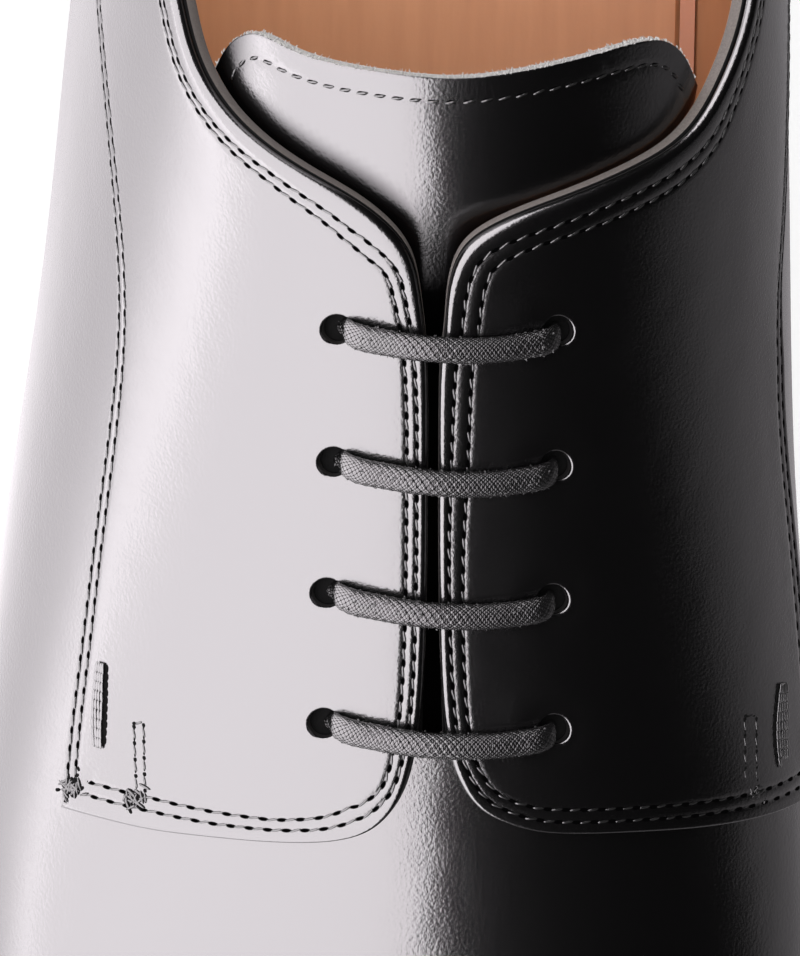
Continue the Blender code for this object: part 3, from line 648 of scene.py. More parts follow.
# Beside the front edge and the seam the leather is skived, so its edge rolls in a smaller radius
SKIVED_WITHIN, FRONT_CORNER, FACING_HALF_WIDE = (2.0, 7.0), (-42.0, -36.0), 8
QUARTER_CLEAR, QUARTER_UNDER_ROLL = 0.03, 0.15
LINING_STEPS, LINING_STEPS_DOWN, LINING_ROLLS = (2.2, 4.0), (5.0, 8.0), (0.25, 0.06)
SLIT_FOOT = ((1.0, -33.2), (-0.2, -34.0), (-1.5, -33.2))


def arc_of_foot(from_along_lat, from_along_med, end_of_shoe):
    """The hidden foot edge round the toe or the heel, from one side of the shoe to the other."""
    if end_of_shoe == "toe":
        lat = straight_foot(-GIRTH, from_along_lat, TOE_POLE)[:-1]
        bend = foot_arc(np.pi, 0.0, TOE, -1.0)
        med = straight_foot(GIRTH, TOE_POLE, from_along_med)[1:]
        return np.concatenate([lat, bend, med])
    med = straight_foot(GIRTH, from_along_med, HEEL_POLE)[:-1]
    bend = foot_arc(0.0, np.pi, HEEL, 1.0)
    lat = straight_foot(-GIRTH, HEEL_POLE, from_along_lat)[1:]
    return np.concatenate([med, bend, lat])


def blend(value, start, finish):
    t = np.clip((value - start) / (finish - start), 0, 1)
    return t * t * (3 - 2 * t)


def feather_loop():
    """The hidden foot edge right round the shoe."""
    return np.concatenate([arc_of_foot(0.0, 0.0, end)[:-1] for end in ("toe", "heel")])


def vamp_piece():
    back_lat, back_med = smooth_line(VAMP_BACK_LAT), smooth_line(VAMP_BACK_MED)
    back = np.concatenate([back_med[::-1], back_lat[1:]])
    foot = arc_of_foot(VAMP_BACK_LAT[-1][1], VAMP_BACK_MED[-1][1], "toe")
    outline = np.concatenate([foot[1:-1], back])
    cut = np.concatenate([np.zeros(len(foot) - 2, bool), np.ones(len(back), bool)])
    return pattern_piece(outline, cut)


stitch_rows = []


def quarters_piece():
    """The horseshoe of both quarters, with its eight punched holes."""
    lateral = np.concatenate([edge_lat, seam_lat[1:]])
    medial = np.concatenate([edge_med, seam_med[1:]])
    foot = arc_of_foot(SEAM_LAT[-1][1], SEAM_MED[-1][1], "heel")
    values = []
    stitch_rows.clear()
    for line, gaps, sign in ((lateral, gaps_lat, -1), (medial, gaps_med, 1)):
        one, two = (
            np.concatenate([gap, np.full(len(line) - len(gap), seam)])
            for gap, seam in zip(gaps, SEAM_GAPS)
        )
        lines = [step_aside(line, sign * gap) for gap in (one, two)]
        values.append(np.stack([one, two, *(run_length(row) for row in lines)]))
        stitch_rows.extend((row, line, gap) for row, gap in zip(lines, (one, two)))
    plain = np.tile(np.array([[FAR_AWAY], [FAR_AWAY], [0.0], [0.0]]), len(foot) - 2)
    outline = np.concatenate([lateral[::-1], medial[1:], foot[1:-1]])
    rows = np.concatenate([values[0][:, ::-1], values[1][:, 1:], plain], axis=1)
    cut = np.arange(len(outline)) < len(lateral) + len(medial) - 1
    holes = [eyelet_loop(*place) for place in EYELETS_LAT + EYELETS_MED]
    return pattern_piece(outline, cut, holes, rows)


def lining_piece():
    """The whole foot edge, and the collar with the slit between the facings."""
    collar = [smooth_line(COLLAR_LAT)[:-1], smooth_line(COLLAR_MED)[::-1], np.array(SLIT_FOOT)]
    return feather_loop(), np.concatenate(collar)


def named(name):
    return bpy.data.materials.new(name)


def inner_facing(flat):
    """One on the facing of the inner side, fading to nothing past its ends."""
    long_enough = blend(flat[:, 1], *INNER_FACING_FROM) * (1 - blend(flat[:, 1], *INNER_FACING_TO))
    return (flat[:, 0] > 0) * long_enough


def gap_to(points, flat):
    """Real distance of each pattern point to the nearest of a line's points."""
    return nearest(tree_of(last_surface(*np.asarray(points).T)), last_surface(*flat.T))[1]


calf, cut_edge, raw_calf = named("polished calf"), named("cut edge of calf"), named("raw edge")
flesh_side = named("flesh side")
lining_leather = named("tan lining")
front_and_seam = np.concatenate([smooth_line(FRONT_LAT), seam_lat, smooth_line(FRONT_MED), seam_med])

piece = vamp_piece()
flat, faces, values = piece
under = np.full(len(flat), -VAMP_THICK)
vamp = sheet_object("vamp", piece, -roll(values[:, 0], VAMP_ROLL), under, [calf])
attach(vamp, "root")

piece = quarters_piece()
flat, faces, values = piece
depth, gap = values[:, 0], values[:, 1]
hole_gap = gap_to(EYELETS_LAT + EYELETS_MED, flat)
front_share = 1 - blend(gap_to(front_and_seam, flat), *SKIVED_WITHIN)
facing_end = np.abs(flat[:, 0]) < FACING_HALF_WIDE
front_share = np.where(facing_end, 1 - blend(flat[:, 1], *FRONT_CORNER), front_share)
radius = FACING_ROLL + (FRONT_ROLL - FACING_ROLL) * front_share
radius += (INNER_FACING_ROLL - FACING_ROLL) * inner_facing(flat)
radius = np.where(hole_gap < HOLE_RIM + 1.5, HOLE_ROLL, radius)
lip = LIP_TALL * np.exp(-depth / LIP_WIDE) * inner_facing(flat) * blend(hole_gap, HOLE_RIM, HOLE_RIM + 2)
over = QUARTER_RISE + lip - roll(depth, radius) - groove(gap)
under = QUARTER_CLEAR + roll(depth, QUARTER_UNDER_ROLL)
quarters = sheet_object("quarters", piece, over, under, [calf, cut_edge], edge_index=1)
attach(quarters, "root")
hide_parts("upper")

foot, collar = lining_piece()
hidden = np.zeros(len(foot), bool)
piece = pattern_piece(anticlockwise(foot), hidden, [anticlockwise(collar)], None, *LINING_STEPS)
flat, faces, values = piece
depth = values[:, 0]
vamp_area = np.concatenate([
    seam_lat[::-1], smooth_line(FRONT_LAT)[::-1], smooth_line(FRONT_MED), seam_med,
    np.array([(95.0, -300.0), (-95.0, -300.0)]),
])
beside_vamp = 1 - blend(gap_to(front_and_seam, flat), *LINING_STEPS_DOWN)
drop = np.where(inside(flat, vamp_area), 1.0, beside_vamp)
over = -LINING_GAP - LINING_DROP * drop - roll(depth, LINING_ROLLS[0])
under = LINING_UNDER + roll(depth, LINING_ROLLS[1])
skins = [lining_leather, raw_calf, flesh_side]
lining = sheet_object("lining", piece, over, under, skins, edge_index=1, over_index=2)
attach(lining, "root")

# %% [markdown]
# Inside, a thin sock covers the insole, and its edge lies against the lining. It closes the gap
# that the last leaves there, and shows from above as a narrow reddish strip. A ring with four
# corners is enough, because only its upper side is ever seen.

# %% Edge of the sock
INSOLE_RISE = 2.6
SOCK_NEAR, SOCK_FAR, SOCK_LOW, SOCK_THICK, SOCK_THIN = 0.55, 2.2, 0.05, 0.35, 0.1
SAME_POINT = 0.01


def sock_edge():
    """A narrow closed ring inside the feather line."""
    line = last_surface(*feather_loop().T)
    line = line[np.linalg.norm(line - np.roll(line, 1, 0), axis=1) > SAME_POINT]
    heading = np.roll(line, -1, 0) - np.roll(line, 1, 0)
    inward = unit(np.stack([-heading[:, 1], heading[:, 0], 0 * heading[:, 0]], 1))
    up = np.array([0.0, 0.0, 1.0])
    rise = INSOLE_RISE + SOCK_LOW
    corners = (
        (SOCK_NEAR, rise), (SOCK_FAR, rise),
        (SOCK_FAR, rise + SOCK_THIN), (SOCK_NEAR, rise + SOCK_THICK),
    )
    rings = [line + inward * aside + up * height for aside, height in corners]
    many, k = len(line), np.arange(len(line))
    after = (k + 1) % many
    faces = []
    for i in range(len(rings)):
        a, b = i * many, (i + 1) % len(rings) * many
        faces += np.stack([a + k, a + after, b + after, b + k], 1).tolist()
    mesh = bpy.data.meshes.new("sock_edge")
    mesh.from_pydata((np.concatenate(rings) * MM).tolist(), [], faces)
    return mesh


sock_leather = named("sock edge leather")
sock = in_scene("sock_edge", sock_edge())
sock.data.materials.append(sock_leather)
bpy.ops.object.select_all(action="DESELECT")
bpy.context.view_layer.objects.active = sock
sock.select_set(True)
bpy.ops.object.mode_set(mode="EDIT")
bpy.ops.mesh.select_all(action="SELECT")
bpy.ops.mesh.normals_make_consistent(inside=False)
bpy.ops.object.mode_set(mode="OBJECT")
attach(sock, "root")

# %% [markdown]
# The tongue is one layer of calf, cut and left raw at its top, with a single row of stitches.
# It lies under the facings and leaves room for the lace between them.

# %% Tongue
TONGUE_SIDES = ((-46, -11, 12), (-30, -18, 19), (0, -22, 26), (20, -25, 32), (39, -28, 38))
TONGUE_TOP = (
    (-28.0, 34.2), (-24.7, 38.0), (-22.0, 38.4), (-17.7, 36.6), (-7.6, 33.3), (1.0, 32.3),
    (12.0, 33.4), (23.2, 36.3), (29.5, 38.2), (32.5, 38.6), (35.4, 37.8), (38.0, 35.0),
)
TONGUE_REST, TONGUE_DIP, TONGUE_THICK = 2.1, 1.8, 1.3
TONGUE_ROLLS, TONGUE_STEP = (0.12, 0.1), 0.8
TONGUE_ROW, TONGUE_ROW_DEEP = 2.7, 0.08
LACE_ROOM_FROM, LACE_ROOM_TO = (-46, -37), (12, 21)
# Painted shade: the tongue's coat is taken off under the facings, fading out between these stations
TONGUE_SHADE_UNDER_FACINGS = (12.0, 24.0)
# Painted shade: the tongue's coat is taken off beside the collar and at its outer end, where the quarter
# shades it
TONGUE_SHADE_BY_COLLAR, TONGUE_SHADE_AT_OUTER_END = (1.8, 4.2), (-21.0, -15.8)


def tongue_rest(along):
    """How far the tongue lies below the vamp leather's outer face, with room for the lace."""
    room = np.minimum(blend(along, *LACE_ROOM_FROM), 1 - blend(along, *LACE_ROOM_TO))
    return TONGUE_REST + TONGUE_DIP * room


def tongue_outline():
    lat, med = (
        smooth_line([(row[side], row[0]) for row in TONGUE_SIDES if row[0] < TONGUE_TOP[0][1]])
        for side in (1, 2)
    )
    top = smooth_line(TONGUE_TOP)
    front = smooth_line([lat[0], med[0]])
    return np.concatenate([front[:-1], med, top[::-1], lat[::-1][:-1]])


outline = tongue_outline()
tongue_run = run_length(step_aside(outline, TONGUE_ROW, closed=True))
row_values = (
    np.full(len(outline), TONGUE_ROW), np.full(len(outline), FAR_AWAY), tongue_run, tongue_run,
)
piece = pattern_piece(outline, np.ones(len(outline), bool), (), row_values, TONGUE_STEP)
flat, faces, values = piece
rest = tongue_rest(flat[:, 1])
raw_edge = named("raw edge of the tongue")
over = -rest - roll(values[:, 0], TONGUE_ROLLS[0]) - groove(values[:, 1], TONGUE_ROW_DEEP)
under = -rest - TONGUE_THICK + roll(values[:, 0], TONGUE_ROLLS[1])
tongue = sheet_object("tongue_leather", piece, over, under, [calf, raw_edge], edge_index=1)
place = np.zeros(3 * len(tongue.data.vertices), np.float32)
tongue.data.vertices.foreach_get("co", place)
place = place.reshape(-1, 3) / MM
# Painted shade on the tongue: one where it lies in shade under the facings, beside the collar and at its
# outer end
tongue_painted_shade = 1 - blend(place[:, 1], *TONGUE_SHADE_UNDER_FACINGS)
collar_tree = tree_of(on_last(*edge_lat.T))
shade_by_collar = 1 - blend(nearest(collar_tree, place)[1], *TONGUE_SHADE_BY_COLLAR)
shade_at_outer_end = 1 - blend(place[:, 0], *TONGUE_SHADE_AT_OUTER_END)
tongue_painted_shade = np.maximum(tongue_painted_shade, np.maximum(shade_by_collar, shade_at_outer_end))
write_values(tongue.data, "tongue_painted_shade", tongue_painted_shade)
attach(tongue, "root")
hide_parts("tongue")

# %% [markdown]
# One flat waxed lace goes through all eight holes as straight bars. It is a tube whose section
# changes from a flat oval on the bars to a round in the holes, so the leather never cuts it.

# %% Lace
LACE_WIDE, LACE_THICK, LACE_IN_HOLE, LACE_RUN_THICK = 2.95, 1.6, 2.2, 1.4
UPPER_WALL, SEAT_GAP, BAR_SAG = 1.8, 0.3, 1.7
LACE_SIDES, LACE_STEP = 48, 0.16
BRAID_PITCH, BRAID_TALL, BRAID_STRANDS = 0.95, 0.07, 9
# Where the lace comes up in a hole: it hugs the inner wall on the outer side's row
UP_LAT, UP_MED = (1.05, -0.05), (-0.35, -0.4)
# Each end of a bar: share of that shift, way toward the bar, lift, width, thickness and turn
BAR_END = (
    (0.5, 0.0, -0.6, 2.2, 1.6, 0.5),
    (1.0, 0.0, 0.5, 2.5, 1.15, 0.0),
    (1.0, 0.3, 1.5, 2.75, 1.25, 0.0),
)
BAR_PRESSED, HOLE_FOOT, RUN_WIDE, LAST_RUN_ASIDE = 0.2, -1.7, 2.4, -4.2
LACE_SQUARENESS, BRAID_MIDDLE = 0.82, 0.45


def lace_route():
    """Rings of the lace: girth, station, lift, width, thickness and how far it has turned."""
    run_lift = -(UPPER_WALL + SEAT_GAP + LACE_RUN_THICK / 2)
    bar_lift = QUARTER_RISE + SEAT_GAP + LACE_THICK / 2 - BAR_PRESSED
    past_hole = (run_lift + 0.3, LACE_IN_HOLE, LACE_RUN_THICK, 1.0)
    round_in = (LACE_IN_HOLE, LACE_IN_HOLE)
    rings = []

    def bar(start, finish):
        (g0, a0), (g1, a1) = start, finish
        to = np.sign(g1 - g0)
        (s0, t0), (s1, t1) = (UP_LAT if g < 0 else UP_MED for g in (g0, g1))
        for share, ahead, *section, turned in BAR_END:
            rings.append((g0 + share * s0 + to * ahead, a0 + t0, *section, turned))
        for u in np.linspace(0.07, 0.93, 11):
            sag = BAR_SAG * 4 * u * (1 - u)
            place = (g0 + s0 + (g1 + s1 - g0 - s0) * u, a0 + t0 + (a1 + t1 - a0 - t0) * u - sag)
            rings.append((*place, bar_lift, LACE_WIDE, LACE_THICK, 0.0))
        for share, ahead, *section, turned in reversed(BAR_END):
            rings.append((g1 + share * s1 - to * ahead, a1 + t1, *section, -turned))

    def run(start, finish, aside=0.0):
        (g0, a0), (g1, a1) = start, finish
        to = np.sign(a1 - a0)
        rings.append((g0, a0 + to * 0.1, HOLE_FOOT, *round_in, 1.0))
        rings.append((g0 + aside * 0.15, a0 + to * 0.8, *past_hole))
        for u in (0.18, 0.4, 0.6, 0.82):
            ease = min(1.0, 2.5 * u)
            place = (g0 + (g1 - g0) * u + aside * ease, a0 + (a1 - a0) * u)
            rings.append((*place, run_lift, RUN_WIDE, LACE_RUN_THICK, 1.0))
        if aside == 0.0:
            rings.append((g1, a1 - to * 0.8, *past_hole))
            rings.append((g1, a1 - to * 0.1, HOLE_FOOT, *round_in, 1.0))

    left, right = EYELETS_LAT, EYELETS_MED
    rings.append((left[0][0], left[0][1], -2.0, *round_in, 1.0))
    bar(left[0], right[0])
    run(right[0], right[1])
    bar(right[1], left[1])
    run(left[1], left[2])
    bar(left[2], right[2])
    run(right[2], right[3])
    bar(right[3], left[3])
    run(left[3], left[0], aside=LAST_RUN_ASIDE)
    return np.array(rings)


def lace_frames():
    """Middle line of the lace at an even step, with its flat and its upright direction."""
    girth, along, lift, wide, thick, turned = lace_route().T
    rings = on_last(girth, along, lift)
    run = run_along(rings)
    curves = [spline(list(zip(run, column))) for column in rings.T]
    at = np.arange(0, run[-1], LACE_STEP)
    middle = np.stack([curve(at) for curve in curves], 1)
    girth, along, wide, thick, turned = (
        np.interp(at, run, column) for column in (girth, along, wide, thick, turned)
    )
    normal = last_normal(girth, along)
    onward = on_last(girth, along + 0.2) - on_last(girth, along - 0.2)
    onward = unit(onward)
    across = np.cross(onward, normal)
    tangent = unit(np.gradient(middle, axis=0))
    turn = np.abs(turned)[:, None]
    flat = onward * (1 - turn) + across * turn
    flat -= (flat * tangent).sum(1)[:, None] * tangent
    flat = unit(flat)
    for i in range(1, len(flat)):
        if flat[i] @ flat[i - 1] < 0:
            flat[i] = -flat[i]
    return middle, flat, np.cross(tangent, flat), wide, thick, at


def lace_mesh():
    middle, flat, upright, wide, thick, at = lace_frames()
    around = np.linspace(0, 2 * np.pi, LACE_SIDES, endpoint=False)
    c, s = np.cos(around), np.sin(around)
    cx, sy = (np.sign(v) * np.abs(v) ** LACE_SQUARENESS for v in (c, s))
    place = at[:, None] / BRAID_PITCH
    lane = around[None] / (2 * np.pi) * BRAID_STRANDS
    one, other = np.sin(np.pi * (place + lane)), np.sin(np.pi * (place - lane))
    relief = BRAID_TALL * (np.abs(one) * np.abs(other) - BRAID_MIDDLE)
    half_w, half_t = wide[:, None] / 2 + relief, thick[:, None] / 2 + relief
    points = middle[:, None] + flat[:, None] * (half_w * cx)[:, :, None]
    points = points + upright[:, None] * (half_t * sy)[:, :, None]
    rows, sides = len(middle), LACE_SIDES
    k = np.arange(sides)
    faces = []
    for i in range(rows - 1):
        a, b = i * sides, (i + 1) * sides
        faces += np.stack([a + k, a + (k + 1) % sides, b + (k + 1) % sides, b + k], 1).tolist()
    faces.append(list(reversed(range(sides))))
    faces.append([(rows - 1) * sides + i for i in range(sides)])
    mesh = bpy.data.meshes.new("lace_cord")
    mesh.from_pydata((points.reshape(-1, 3) * MM).tolist(), [], faces)
    write_values(mesh, "place", np.repeat(at, sides))
    write_values(mesh, "lane", np.tile(around / (2 * np.pi), rows))
    mesh.shade_smooth()
    print("lace: %.0f mm long" % at[-1])
    return mesh


braid = named("waxed braid")
lace = in_scene("lace_cord", lace_mesh())
lace.data.materials.append(braid)
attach(lace, "root")
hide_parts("lace")
print("lace: %d triangles" % (2 * len(lace.data.polygons)))

# %% [markdown]
# The stitches are waxed thread in two rows beside each cut edge, about eight to the inch in a
# derby's quarters. One bead is made, a small stretched ball, and set down once for each
# stitch with its ends dipped into the needle holes. Joined meshes keep hundreds of them light.

# %% Stitches
STITCH_LONG_SHARE, THREAD_THICK, THREAD_FLAT = 0.74, 0.27, 0.22
STITCH_LEAN, STITCH_DIP, STITCH_SINK = math.radians(11), 0.14, 0.03
TURN_SPREAD, THICK_SPREAD, BEAD_FULLNESS, PITCH_SPREAD = 0.035, 0.05, 0.75, (0.7, 1.3)
chance = np.random.default_rng(11)
thread = named("waxed thread")


def thread_bead():
    """One stitch, a unit long: points, faces."""
    bpy.ops.object.select_all(action="DESELECT")
    bpy.ops.mesh.primitive_uv_sphere_add(segments=8, ring_count=7, radius=0.5)
    ball = bpy.context.object
    bpy.ops.transform.rotate(value=math.pi / 2, orient_axis="Y", center_override=(0, 0, 0))
    bpy.ops.object.transform_apply(location=True, rotation=True, scale=True)
    points = np.array([v.co[:] for v in ball.data.vertices])
    faces = [tuple(face.vertices) for face in ball.data.polygons]
    bpy.data.objects.remove(ball, do_unlink=True)
    points[:, 0] = np.sign(points[:, 0]) * np.abs(2 * points[:, 0]) ** BEAD_FULLNESS / 2
    return points, faces


BEAD_POINTS, BEAD_FACES = thread_bead()


def sew(
    name, material, middle, tangent, normal, long, thick=THREAD_THICK, lean=STITCH_LEAN, drawn_out=1.0
):
    """A joined mesh of beads at these places."""
    many, long = len(middle), drawn_out * long
    across = np.cross(normal, tangent)
    turn = lean + chance.normal(0, TURN_SPREAD, many)
    thick = np.broadcast_to(thick, (many,)) * (1 + chance.normal(0, THICK_SPREAD, many))
    ahead = tangent * np.cos(turn)[:, None] + across * np.sin(turn)[:, None]
    aside = across * np.cos(turn)[:, None] - tangent * np.sin(turn)[:, None]
    x, y, z = BEAD_POINTS.T
    sink = STITCH_DIP * (2 * x) ** 4
    points = middle[:, None] + ahead[:, None] * (x * long[:, None])[:, :, None]
    points = points + aside[:, None] * (y * thick[:, None])[:, :, None]
    points = points + normal[:, None] * (z * THREAD_FLAT - sink)[None, :, None]
    size = len(BEAD_POINTS)
    faces = [tuple(k * size + i for i in face) for k in range(many) for face in BEAD_FACES]
    mesh = bpy.data.meshes.new(name)
    mesh.from_pydata((points.reshape(-1, 3) * MM).tolist(), [], faces)
    mesh.materials.append(material)
    mesh.shade_smooth()
    obj = in_scene(name, mesh)
    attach(obj, "root")
    print("%s: %d beads" % (name, many))


def along_row(line, lift, pitch=STITCH_PITCH, clear_of=None, clear_by=0.0):
    """Middle, tangent, normal and length of each stitch of a row drawn on the pattern."""
    phase = run_length(line) / pitch
    steps = np.arange(int(phase[-1])) + 0.5
    place = np.stack([np.interp(steps, phase, column) for column in line.T], 1)
    lift = np.broadcast_to(np.asarray(lift, float), len(line))

    def spot(at):
        flat = [np.interp(at, phase, column) for column in line.T]
        return on_last(*flat, np.interp(at, phase, lift))

    one, middle, two = spot(steps - 0.5), spot(steps), spot(steps + 0.5)
    normal, tangent = last_normal(*place.T), two - one
    long = np.linalg.norm(tangent, axis=1)
    kept = (long > PITCH_SPREAD[0] * pitch) & (long < PITCH_SPREAD[1] * pitch)
    if clear_of is not None:
        kept &= gap_to(clear_of, place) > np.interp(steps, phase, clear_by)
    ways = (middle, tangent / long[:, None], normal, long * STITCH_LONG_SHARE)
    return [values[kept] for values in ways]


def joined(rows):
    return [np.concatenate(column) for column in zip(*rows)]


LIP_WITHIN, TOP_ROW_SPARE = 12, 1.2
row_lift = QUARTER_RISE - GROOVE_DEEP + THREAD_FLAT / 2 - STITCH_SINK
quarter_rows = []
for row, edge, gap in stitch_rows:
    lip = LIP_TALL * np.exp(-gap / LIP_WIDE) * inner_facing(row) * (np.abs(row[:, 0]) < LIP_WITHIN)
    quarter_rows.append(along_row(row, row_lift + lip, clear_of=edge, clear_by=0.9 * gap))
sew("quarter_stitches", thread, *joined(quarter_rows))

row = step_aside(tongue_outline(), TONGUE_ROW, closed=True)
top_row = row[gap_to(smooth_line(TONGUE_TOP), row) < TONGUE_ROW + TOP_ROW_SPARE]
lift = -TONGUE_REST - TONGUE_ROW_DEEP + THREAD_FLAT / 2
sew("tongue_stitches", thread, *along_row(top_row, lift))

# %% [markdown]
# Where a row ends, the maker sews back over it or works a bar of thread by hand, because a
# derby's quarters pull hardest there. Each outer corner has a short double tab, a tangle of
# back stitches and a bar tack beside the seam. The shade in the needle holes and grooves under
# them, and the shadow beside each bar tack, are painted: flat dark beads.

# %% Tabs, bar tacks and back stitches
# A matte black that stands for shade: the painted shade in needle holes and grooves, and the painted
# shadow beside each bar tack
painted_shade_black, tack_thread = named("painted shade black"), named("glazed thread")
TABS = (
    ((-32.2, -30.8), (-31.6, -38.4)), ((-31.1, -30.7), (-30.6, -39.6)),
    ((-32.3, -30.6), (-31.0, -30.5)), ((39.7, -29.4), (39.3, -37.6)),
    ((41.7, -29.2), (41.2, -37.4)), ((39.7, -29.2), (41.7, -29.0)),
)
TAB_PITCH, TAB_SHARE, TAB_STEP, TAB_LIFT = 1.85, 0.98, 0.25, 0.02
# Painted shade: flat black beads in the grooves and needle holes of the tabs
TAB_GROOVE_DEEP, TAB_GROOVE_PITCH, TAB_GROOVE_THICK, TAB_GROOVE_DRAWN = 0.04, 0.6, 0.26, 1.6
TAB_HOLE_BEHIND, TAB_HOLE_DEEP, TAB_HOLE_LONG, TAB_HOLE_THICK = 0.58, 0.05, 0.62, 0.52

tab_rows, tab_hole_shade, tab_grooves = [], [], []
for ends_of in TABS:
    line = smooth_line(ends_of, TAB_STEP)
    pitch = min(TAB_PITCH, TAB_SHARE * run_length(line)[-1])
    tab_rows.append(along_row(line, QUARTER_RISE + TAB_LIFT, pitch))
    tab_grooves.append(along_row(line, QUARTER_RISE - TAB_GROOVE_DEEP, TAB_GROOVE_PITCH))
    middle, tangent, normal, long = tab_rows[-1]
    hole = middle - tangent * long[:, None] * TAB_HOLE_BEHIND - normal * TAB_HOLE_DEEP
    tab_hole_shade.append((hole, tangent, normal, 0 * long + TAB_HOLE_LONG))
sew("tab_stitches", thread, *joined(tab_rows))
sew("tab_grooves", painted_shade_black, *joined(tab_grooves), TAB_GROOVE_THICK, 0.0, TAB_GROOVE_DRAWN)
sew("tab_needle_holes", painted_shade_black, *joined(tab_hole_shade), TAB_HOLE_THICK)

# Each tack: its line, how many strands, how far apart they lie and how much they bulge
BAR_TACKS = (
    (((-36.6, -24.0), (-36.6, -28.7), (-36.3, -33.2)), 4, 0.33, 0.1),
    (((47.1, -25.2), (46.3, -29.6), (46.2, -34.0)), 5, 0.34, 0.5),
)
TACK_STEP, TACK_SWAY, TACK_LIFT, TACK_PITCH = 0.35, 0.04, 0.34, 1.05
TACK_THICK, TACK_LEAN, TACK_DRAWN = 0.42, 0.05, 1.7
# Painted shadow beside each bar tack: how far aside, how high, its pitch, thickness and length
TACK_SHADOW_ASIDE, TACK_SHADOW_LIFT, TACK_SHADOW_PITCH, TACK_SHADOW_THICK, TACK_SHADOW_DRAWN = 0.22, 0.02, 0.9, 0.72, 1.8

strands, tack_shadows = [], []
for line, count, apart, bulge in BAR_TACKS:
    line = smooth_line(line, TACK_STEP)
    arch = np.sin(np.linspace(0, np.pi, len(line)))
    for k in range(count):
        middle_of = k - (count - 1) / 2
        sway = TACK_SWAY * np.sin(np.linspace(0, 7 + k, len(line)) + k)
        moved = step_aside(line, middle_of * apart * (0.75 + (0.25 + bulge) * arch**0.5) + sway)
        strands.append(along_row(moved, QUARTER_RISE + TACK_LIFT, TACK_PITCH))
    # Painted shadow: a strip of flat black beads on one side of each tack
    side = 1 if line[0, 0] < 0 else -1
    tack_shadow = step_aside(line, side * (count / 2 * apart + TACK_SHADOW_ASIDE) * (0.7 + 0.3 * arch))
    tack_shadows.append(along_row(tack_shadow, QUARTER_RISE + TACK_SHADOW_LIFT, TACK_SHADOW_PITCH))
sew("bar_tack_threads", tack_thread, *joined(strands), TACK_THICK, TACK_LEAN, TACK_DRAWN)
sew("bar_tack_hollows", painted_shade_black, *joined(tack_shadows), TACK_SHADOW_THICK, 0.0, TACK_SHADOW_DRAWN)

# Each tangle: its place on the pattern, its reach and how many stitches
TANGLES = (((-39.6, -36.9), 1.9, 26), ((-32.0, -38.5), 1.6, 18), ((41.2, -37.2), 1.5, 12))
GATHERED, LOOSE_LIFT, LOOSE_PILE, LOOSE_THICK, PRICK_THICK = 0.33, 0.06, 0.12, 0.26, 0.4


def scatter(place, reach, count):
    """Pattern points gathered round a place, none further off than its reach."""
    return np.array(place) + np.clip(chance.normal(0, GATHERED * reach, (count, 2)), -reach, reach)


loose, pricks = [], []
for place, reach, count in TANGLES:
    spot = scatter(place, reach, count)
    normal = last_normal(*spot.T)
    way = unit(np.cross(normal, chance.normal(size=(count, 3))))
    height = QUARTER_RISE + LOOSE_LIFT + LOOSE_PILE * chance.random(count)
    loose.append((on_last(*spot.T, height), way, normal, 1.0 + 0.7 * chance.random(count)))
    # Painted shade: flat black beads in the needle holes of the back stitches
    prick = scatter(place, reach, count)
    on_top = on_last(*prick.T, QUARTER_RISE)
    pricks.append((on_top, way, last_normal(*prick.T), 0.5 + 0.5 * chance.random(count)))
sew("back_stitches", thread, *joined(loose), LOOSE_THICK)
sew("back_stitch_holes", painted_shade_black, *joined(pricks), PRICK_THICK)

# %% [markdown]
# A cut edge that is left raw shows the fibres of the hide. A few hundred short ones stand out
# of the tongue's top edge, and thinner ones of cotton stand off the lace. They are the same bead
# as a stitch, drawn out until it is a hair.

# %% Fibres
fibre, lint = named("leather fibre"), named("cotton lint")
TONGUE_FIBRES, LACE_FIBRES = 560, 750
FIBRE_SPREAD, FIBRE_TOP, FIBRE_DEPTH, FIBRE_OUT, FIBRE_THICK = 0.5, 0.05, 1.1, 0.1, 0.07
LINT_SPREAD, LINT_THICK, BAR_SPARE = 0.7, 0.03, 0.15
top = smooth_line(TONGUE_TOP)
pick = chance.random(TONGUE_FIBRES) * (len(top) - 1)
spot = np.stack([np.interp(pick, np.arange(len(top)), column) for column in top.T], 1)
normal = last_normal(*spot.T)
way = chance.normal(size=(TONGUE_FIBRES, 3)) * FIBRE_SPREAD
way = unit(way + on_last(spot[:, 0], spot[:, 1] + 1.0) - on_last(*spot.T))
height = -TONGUE_REST - FIBRE_TOP - FIBRE_DEPTH * chance.random(TONGUE_FIBRES) ** 1.5
long = 0.25 + 0.35 * chance.random(TONGUE_FIBRES)
start = on_last(*spot.T, height) + way * FIBRE_OUT
sew("tongue_fibres", fibre, start, way, normal, long, FIBRE_THICK, 0.0)

middle, flat_way, upright, wide, thick, _ = lace_frames()
shown = np.nonzero(thick > LACE_THICK - BAR_SPARE)[0]
pick = shown[chance.integers(0, len(shown), LACE_FIBRES)]
turn = chance.random(LACE_FIBRES) * 2 * np.pi
c, s = np.cos(turn), np.sin(turn)
out = flat_way[pick] * c[:, None] + upright[pick] * s[:, None]
start = middle[pick] + out * (wide[pick] / 2 * c**2 + thick[pick] / 2 * s**2)[:, None]
way = unit(out + chance.normal(0, LINT_SPREAD, (LACE_FIBRES, 3)))
side = unit(np.cross(way, chance.normal(size=(LACE_FIBRES, 3))))
long = 0.25 + 0.25 * chance.random(LACE_FIBRES)
sew("lace_lint", lint, start, way, side, long, LINT_THICK, 0.0)

